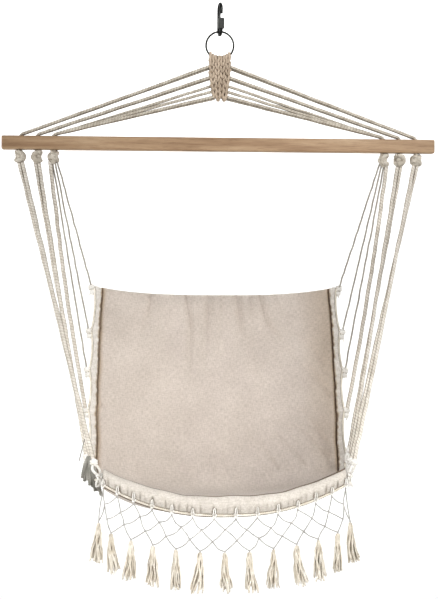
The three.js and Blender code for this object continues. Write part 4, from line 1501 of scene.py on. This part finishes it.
def front_low(share):
    return FRONT_CORNER_Z - ROLL_LOW_DROP - ROLL_LOW_SAG * front_bow(share)


def front_top(share):
    waves = [high * math.sin(turns * share + a) for high, turns, a in ROLL_WAVE_SHARES]
    level = FRONT_CORNER_Z + ROLL_TOP_RISE - ROLL_TOP_SAG * front_bow(share)
    return level + ROLL_WAVE * sum(waves) * (1 - share ** ROLL_WAVE_POWER)


def front_steep(share):
    """How much longer a drop has to be for the same gap where the roll's underside climbs."""
    climb = ROLL_LOW_SAG * FRONT_POWER * abs(share) ** (FRONT_POWER - 1)
    return math.hypot(1, climb / FRONT_HALF)


def front_place(share):
    drop = (EDGE_GAP + FRONT_KNOT_RADIUS) * front_steep(share)
    return np.array([share * FRONT_HALF, front_y(share), front_low(share) - drop])


def roll_ring(i, steps, gone):
    share = front_share(i, steps)
    top, low = front_top(share), front_low(share) - ROLL_FULLER
    off = abs(math.sin(math.pi * i / ROLL_STEPS)) * ROLL_STEPS / math.pi
    knot = math.exp(-(off / ROLL_KNOT_STEPS) ** 2)
    turn = full_turn(ROLL_RINGS)
    height = np.sin(turn)
    lowness = np.clip((PLEAT_TOP_SHARE - height) / PLEAT_FADE_SHARE, 0, 1)
    pleat = sum(high * math.sin(2 * math.pi * gone / wide + start) for wide, high, start in PLEATS)
    bite_fade = (height + ROLL_BITE_HIGH_SHARE) / ROLL_BITE_WIDE_SHARE
    bite = ROLL_BITE * knot * np.exp(-bite_fade ** 2)
    inward = bite + (abs(pleat) + pleat * PLEAT_LEAN_SHARE) * lowness
    deep = ROLL_DEPTH / 2 - inward
    half = (top - low) / 2
    lift = ROLL_SCALLOP * knot * lowness
    flat = 1 + ROLL_FLAT_SHARE * np.cos(2 * turn)
    y = front_y(share) + deep * np.cos(turn) * flat
    z = (top + low) / 2 + half * height + lift
    return np.stack([0 * turn + share * FRONT_HALF, y, z], 1)


def make_roll():
    steps = (EDGE_KNOTS - 1) * ROLL_STEPS
    path = np.array([front_place(front_share(i, steps)) for i in range(steps + 1)])
    gone = path_lengths(path)
    shell = Shell()
    shell.grid(np.array([roll_ring(i, steps, gone[i]) for i in range(steps + 1)]))
    piece = shell.build("gathered_roll", ["roll_weave"], "seat", "front_roll")


def knot_share(i):
    return front_share(i, EDGE_KNOTS - 1)


def bite_leg(knot, hole, front, way):
    """Points of one leg of a loop, from its knot up towards its hole."""
    points = []
    for up, out in BITE_POINT_SHARES:
        y = front - BITE_PROUD + ROLL_BITE * up * BITE_IN_SHARE
        points.append((knot[0] + way * BITE_WIDE * out, y, knot[2] + (hole[2] - knot[2]) * up))
    return points


def bite_loop(shell, share):
    """A loop of cord from the front cord up over the roll and into it."""
    knot = front_place(share)
    half = (front_top(share) - front_low(share)) / 2
    middle = (front_top(share) + front_low(share)) / 2
    front = front_y(share) - ROLL_DEPTH / 2
    high = rng.uniform(*BITE_HIGH_SHARES)
    hole = np.array([knot[0], front + ROLL_BITE, middle - high * half])
    top = hole + np.array([rng.uniform(-BITE_LEAN, BITE_LEAN), 0, 0])
    left, right = (bite_leg(knot, hole, front, way) for way in (-1, 1))
    path = spline([knot, *left, top, *right[::-1], knot], BITE_CURVE_STEPS)
    shell.rope(path, BITE_RADIUS, BITE_PITCH, sides=THIN_ROPE_SIDES)


def shadow_strip(shell, path, left_radius, right_radius):
    """A thin dark strip of painted shadow that grows or shrinks from left to right."""
    path = spaced(path, SHADOW_STRIP_STEP)
    shell.tube(path, np.linspace(left_radius, right_radius, len(path)))


def make_front_cord():
    shell = Shell()
    path = [front_place(front_share(i, FRONT_CORD_STEPS)) for i in range(FRONT_CORD_STEPS + 1)]
    shell.rope(path, FRONT_CORD_RADIUS, FRONT_CORD_PITCH)
    shell.kind = 2
    for i in range(EDGE_KNOTS):
        small_knot(shell, front_place(knot_share(i)), FRONT_KNOT)
        bite_loop(shell, knot_share(i))
    # painted shadow: dark strips behind the roll's crest and under the front cord
    shell.kind = 1
    over = [(x, y + OVER_BACK, front_top(x / FRONT_HALF) - OVER_DROP) for x, y, _ in path]
    shadow_strip(shell, over, OVER_LEFT_RADIUS, OVER_RIGHT_RADIUS)
    under = np.array(path) + np.array([0, UNDER_BACK, -UNDER_DROP])
    shadow_strip(shell, under, UNDER_LEFT_RADIUS, UNDER_RIGHT_RADIUS)
    shell.build("front_rope", ["pale_yarn", "brown_yarn", "white_yarn"], "seat", "front_cord")


def net_rows():
    lower = np.array([0, 0, FRONT_KNOT_RADIUS + EDGE_GAP + NET_KNOT])
    rows = [[front_place(knot_share(i)) - lower for i in range(EDGE_KNOTS)]]
    drop = np.array([0, 0, NET_DROP])
    for _ in range(NET_ROWS):
        rows.append([(a + b) / 2 - drop for a, b in zip(rows[-1], rows[-1][1:])])
    flares = [np.array([1 + row * NET_FLARE_SHARE, 1, 1]) for row in range(NET_ROWS + 1)]
    return [[place * flare for place in places] for places, flare in zip(rows, flares)]


def net_ends(rows):
    ends = []
    for corner, way in ((rows[0][0], -1), (rows[0][-1], 1)):
        ends.append(corner + np.array([way * TASSEL_OUT, 0, -NET_ROWS * NET_DROP]))
    return ends


def net_cord(shell, a, b):
    """A net cord that hangs a little slack between its two knots."""
    slack = [rng.uniform(-1, 1), rng.uniform(-1, 1), -rng.uniform(0, NET_SAG_SHARE)]
    path = spline([a, (a + b) / 2 + np.array(slack) * NET_SLACK, b])
    shell.rope(path, NET_CORD, NET_PITCH, sides=THIN_ROPE_SIDES)


def make_net(rows, ends):
    shell = Shell()
    for row in rows[1:NET_ROWS]:
        shift(row, NET_SHIFT)
    for above, row in zip(rows, rows[1:]):
        for i, place in enumerate(row):
            net_cord(shell, above[i], place)
            net_cord(shell, above[i + 1], place)
    for row in rows[:2]:
        net_cord(shell, row[0], ends[0])
        net_cord(shell, row[-1], ends[1])
    for place in [place for row in rows for place in row] + ends:
        shell.lump(place, NET_LUMP, FINE_SIDES)
    shell.build("knotted_net", ["net_yarn"], "seat", "net")


def yarn_path(top, turn, wide, length, lean):
    """One yarn of a tassel: out of its neck, and down to a ragged end."""
    out = np.array([math.cos(turn), math.sin(turn), 0])
    side = np.array([-out[1], out[0], 0]) * rng.uniform(-1, 1) * TASSEL_CURL
    down, round_it = YARN_CURLS
    points = []
    for share in YARN_POINT_SHARES:
        below = max(0, (share - TASSEL_NECK_SHARE) / (1 - TASSEL_NECK_SHARE))
        spread = TASSEL_NECK + (wide - TASSEL_NECK) * below ** TASSEL_FLARE
        curl = side * math.sin(down * share + round_it * turn) + lean * share ** 2
        drop = np.array([0, 0, share * length])
        points.append(top + out * spread * rng.uniform(*YARN_SPREAD_SHARES) + curl - drop)
    return spline(points, YARN_CURVE_STEPS)


def make_tassel(i, place):
    shell = Shell()
    top = np.array(place) - np.array([0, 0, NET_KNOT])
    lean = np.array([rng.uniform(-1, 1), rng.uniform(-1, 1), 0]) * TASSEL_LEAN
    shell.lump(top - np.array([0, 0, TASSEL_HEAD_DROP]), TASSEL_HEAD, TASSEL_HEAD_SIDES)
    full = TASSEL_WIDE * rng.uniform(*TASSEL_FULLNESS_SHARES)
    for k in range(YARNS):
        turn = 2 * math.pi * (k + rng.random()) / YARNS
        wide = full * rng.choice(YARN_WIDTH_SHARES)
        length = TASSEL_LENGTH * rng.uniform(*YARN_LENGTH_SHARES)
        path = yarn_path(top, turn, wide, length, lean)
        fat = np.interp(np.linspace(0, 1, len(path)), *np.transpose(YARN_TAPER_SHARES))
        shell.tube(path, YARN_RADIUS * rng.uniform(*YARN_FAT_SHARES) * fat, YARN_SIDES)
    shell.build(f"yarn_tassel_{i + 1:02d}", ["cream_yarn"], "seat", f"tassel_{i + 1:02d}")


def make_front():
    make_roll()
    make_front_cord()
    rows = net_rows()
    ends = net_ends(rows)
    make_net(rows, ends)
    for i, place in enumerate([ends[0], *rows[NET_ROWS], ends[1]]):
        make_tassel(i, place)


# Studio

def make_camera():
    data = bpy.data.cameras.new("photo_camera")
    data.sensor_fit = "VERTICAL"
    data.sensor_height = SENSOR_MM
    data.lens = SENSOR_MM * CAMERA_AWAY / METRES_PER_PIXEL / FRAME_HEIGHT
    camera = put("photo_camera", data)
    x = CAMERA_AWAY * math.sin(CAMERA_TURN)
    y = -CAMERA_AWAY * math.cos(CAMERA_TURN)
    camera.location = (x, y, EYE_Z)
    way = Vector((LOOK_X, 0, EYE_Z)) - camera.location
    aimed = way.to_track_quat("-Z", "Y").to_matrix().to_4x4()
    camera.rotation_euler = (aimed @ Matrix.Rotation(CAMERA_ROLL, 4, "Z")).to_euler()
    bpy.context.scene.camera = camera


def area_light(name, place, target, size, power, spread):
    data = bpy.data.lights.new(name, "AREA")
    data.size = size
    data.spread = math.radians(spread)
    data.energy = power
    light = put(name, data)
    light.location = place
    light.rotation_euler = (Vector(target) - Vector(place)).to_track_quat("-Z", "Y").to_euler()


def make_floor():
    material, _, shader = new_material("pale_paper", PAPER_ROUGHNESS)
    shader.inputs["Base Color"].default_value = PAPER_COLOR
    profile = [(-STUDIO_HALF, FLOOR_Z)]
    for i in range(BEND_STEPS + 1):
        turn = math.radians(90 / BEND_STEPS * i)
        y = BACKDROP_Y - BACKDROP_BEND + BACKDROP_BEND * math.sin(turn)
        profile.append((y, FLOOR_Z + BACKDROP_BEND * (1 - math.cos(turn))))
    profile.append((BACKDROP_Y, BACKDROP_TOP_Z))
    points = [(x, y, z) for y, z in profile for x in (-STUDIO_HALF, STUDIO_HALF)]
    faces = [(2 * i, 2 * i + 1, 2 * i + 3, 2 * i + 2) for i in range(len(profile) - 1)]
    mesh = bpy.data.meshes.new("studio_floor")
    mesh.from_pydata(points, [], faces)
    mesh.materials.append(material)
    smooth(mesh)
    floor = put("studio_floor", mesh)


def make_light():
    world = bpy.data.worlds.new("studio")
    bpy.context.scene.world = world
    world.use_nodes = True
    background = world.node_tree.nodes["Background"]
    background.inputs["Color"].default_value = (1, 1, 1, 1)
    background.inputs["Strength"].default_value = WORLD_STRENGTH
    for name, values in LIGHTS.items():
        area_light(name, *values)
    bpy.context.scene.view_settings.view_transform = "Standard"


make_camera()
make_floor()
make_light()
make_metal()
make_neck()
nodes["spreader_bar"].data.materials.clear()
nodes["spreader_bar"].data.materials.append(looks["oiled_wood"])
make_bridles()
make_suspension()
make_side_cords()
make_bunch()
make_pad()
make_front()
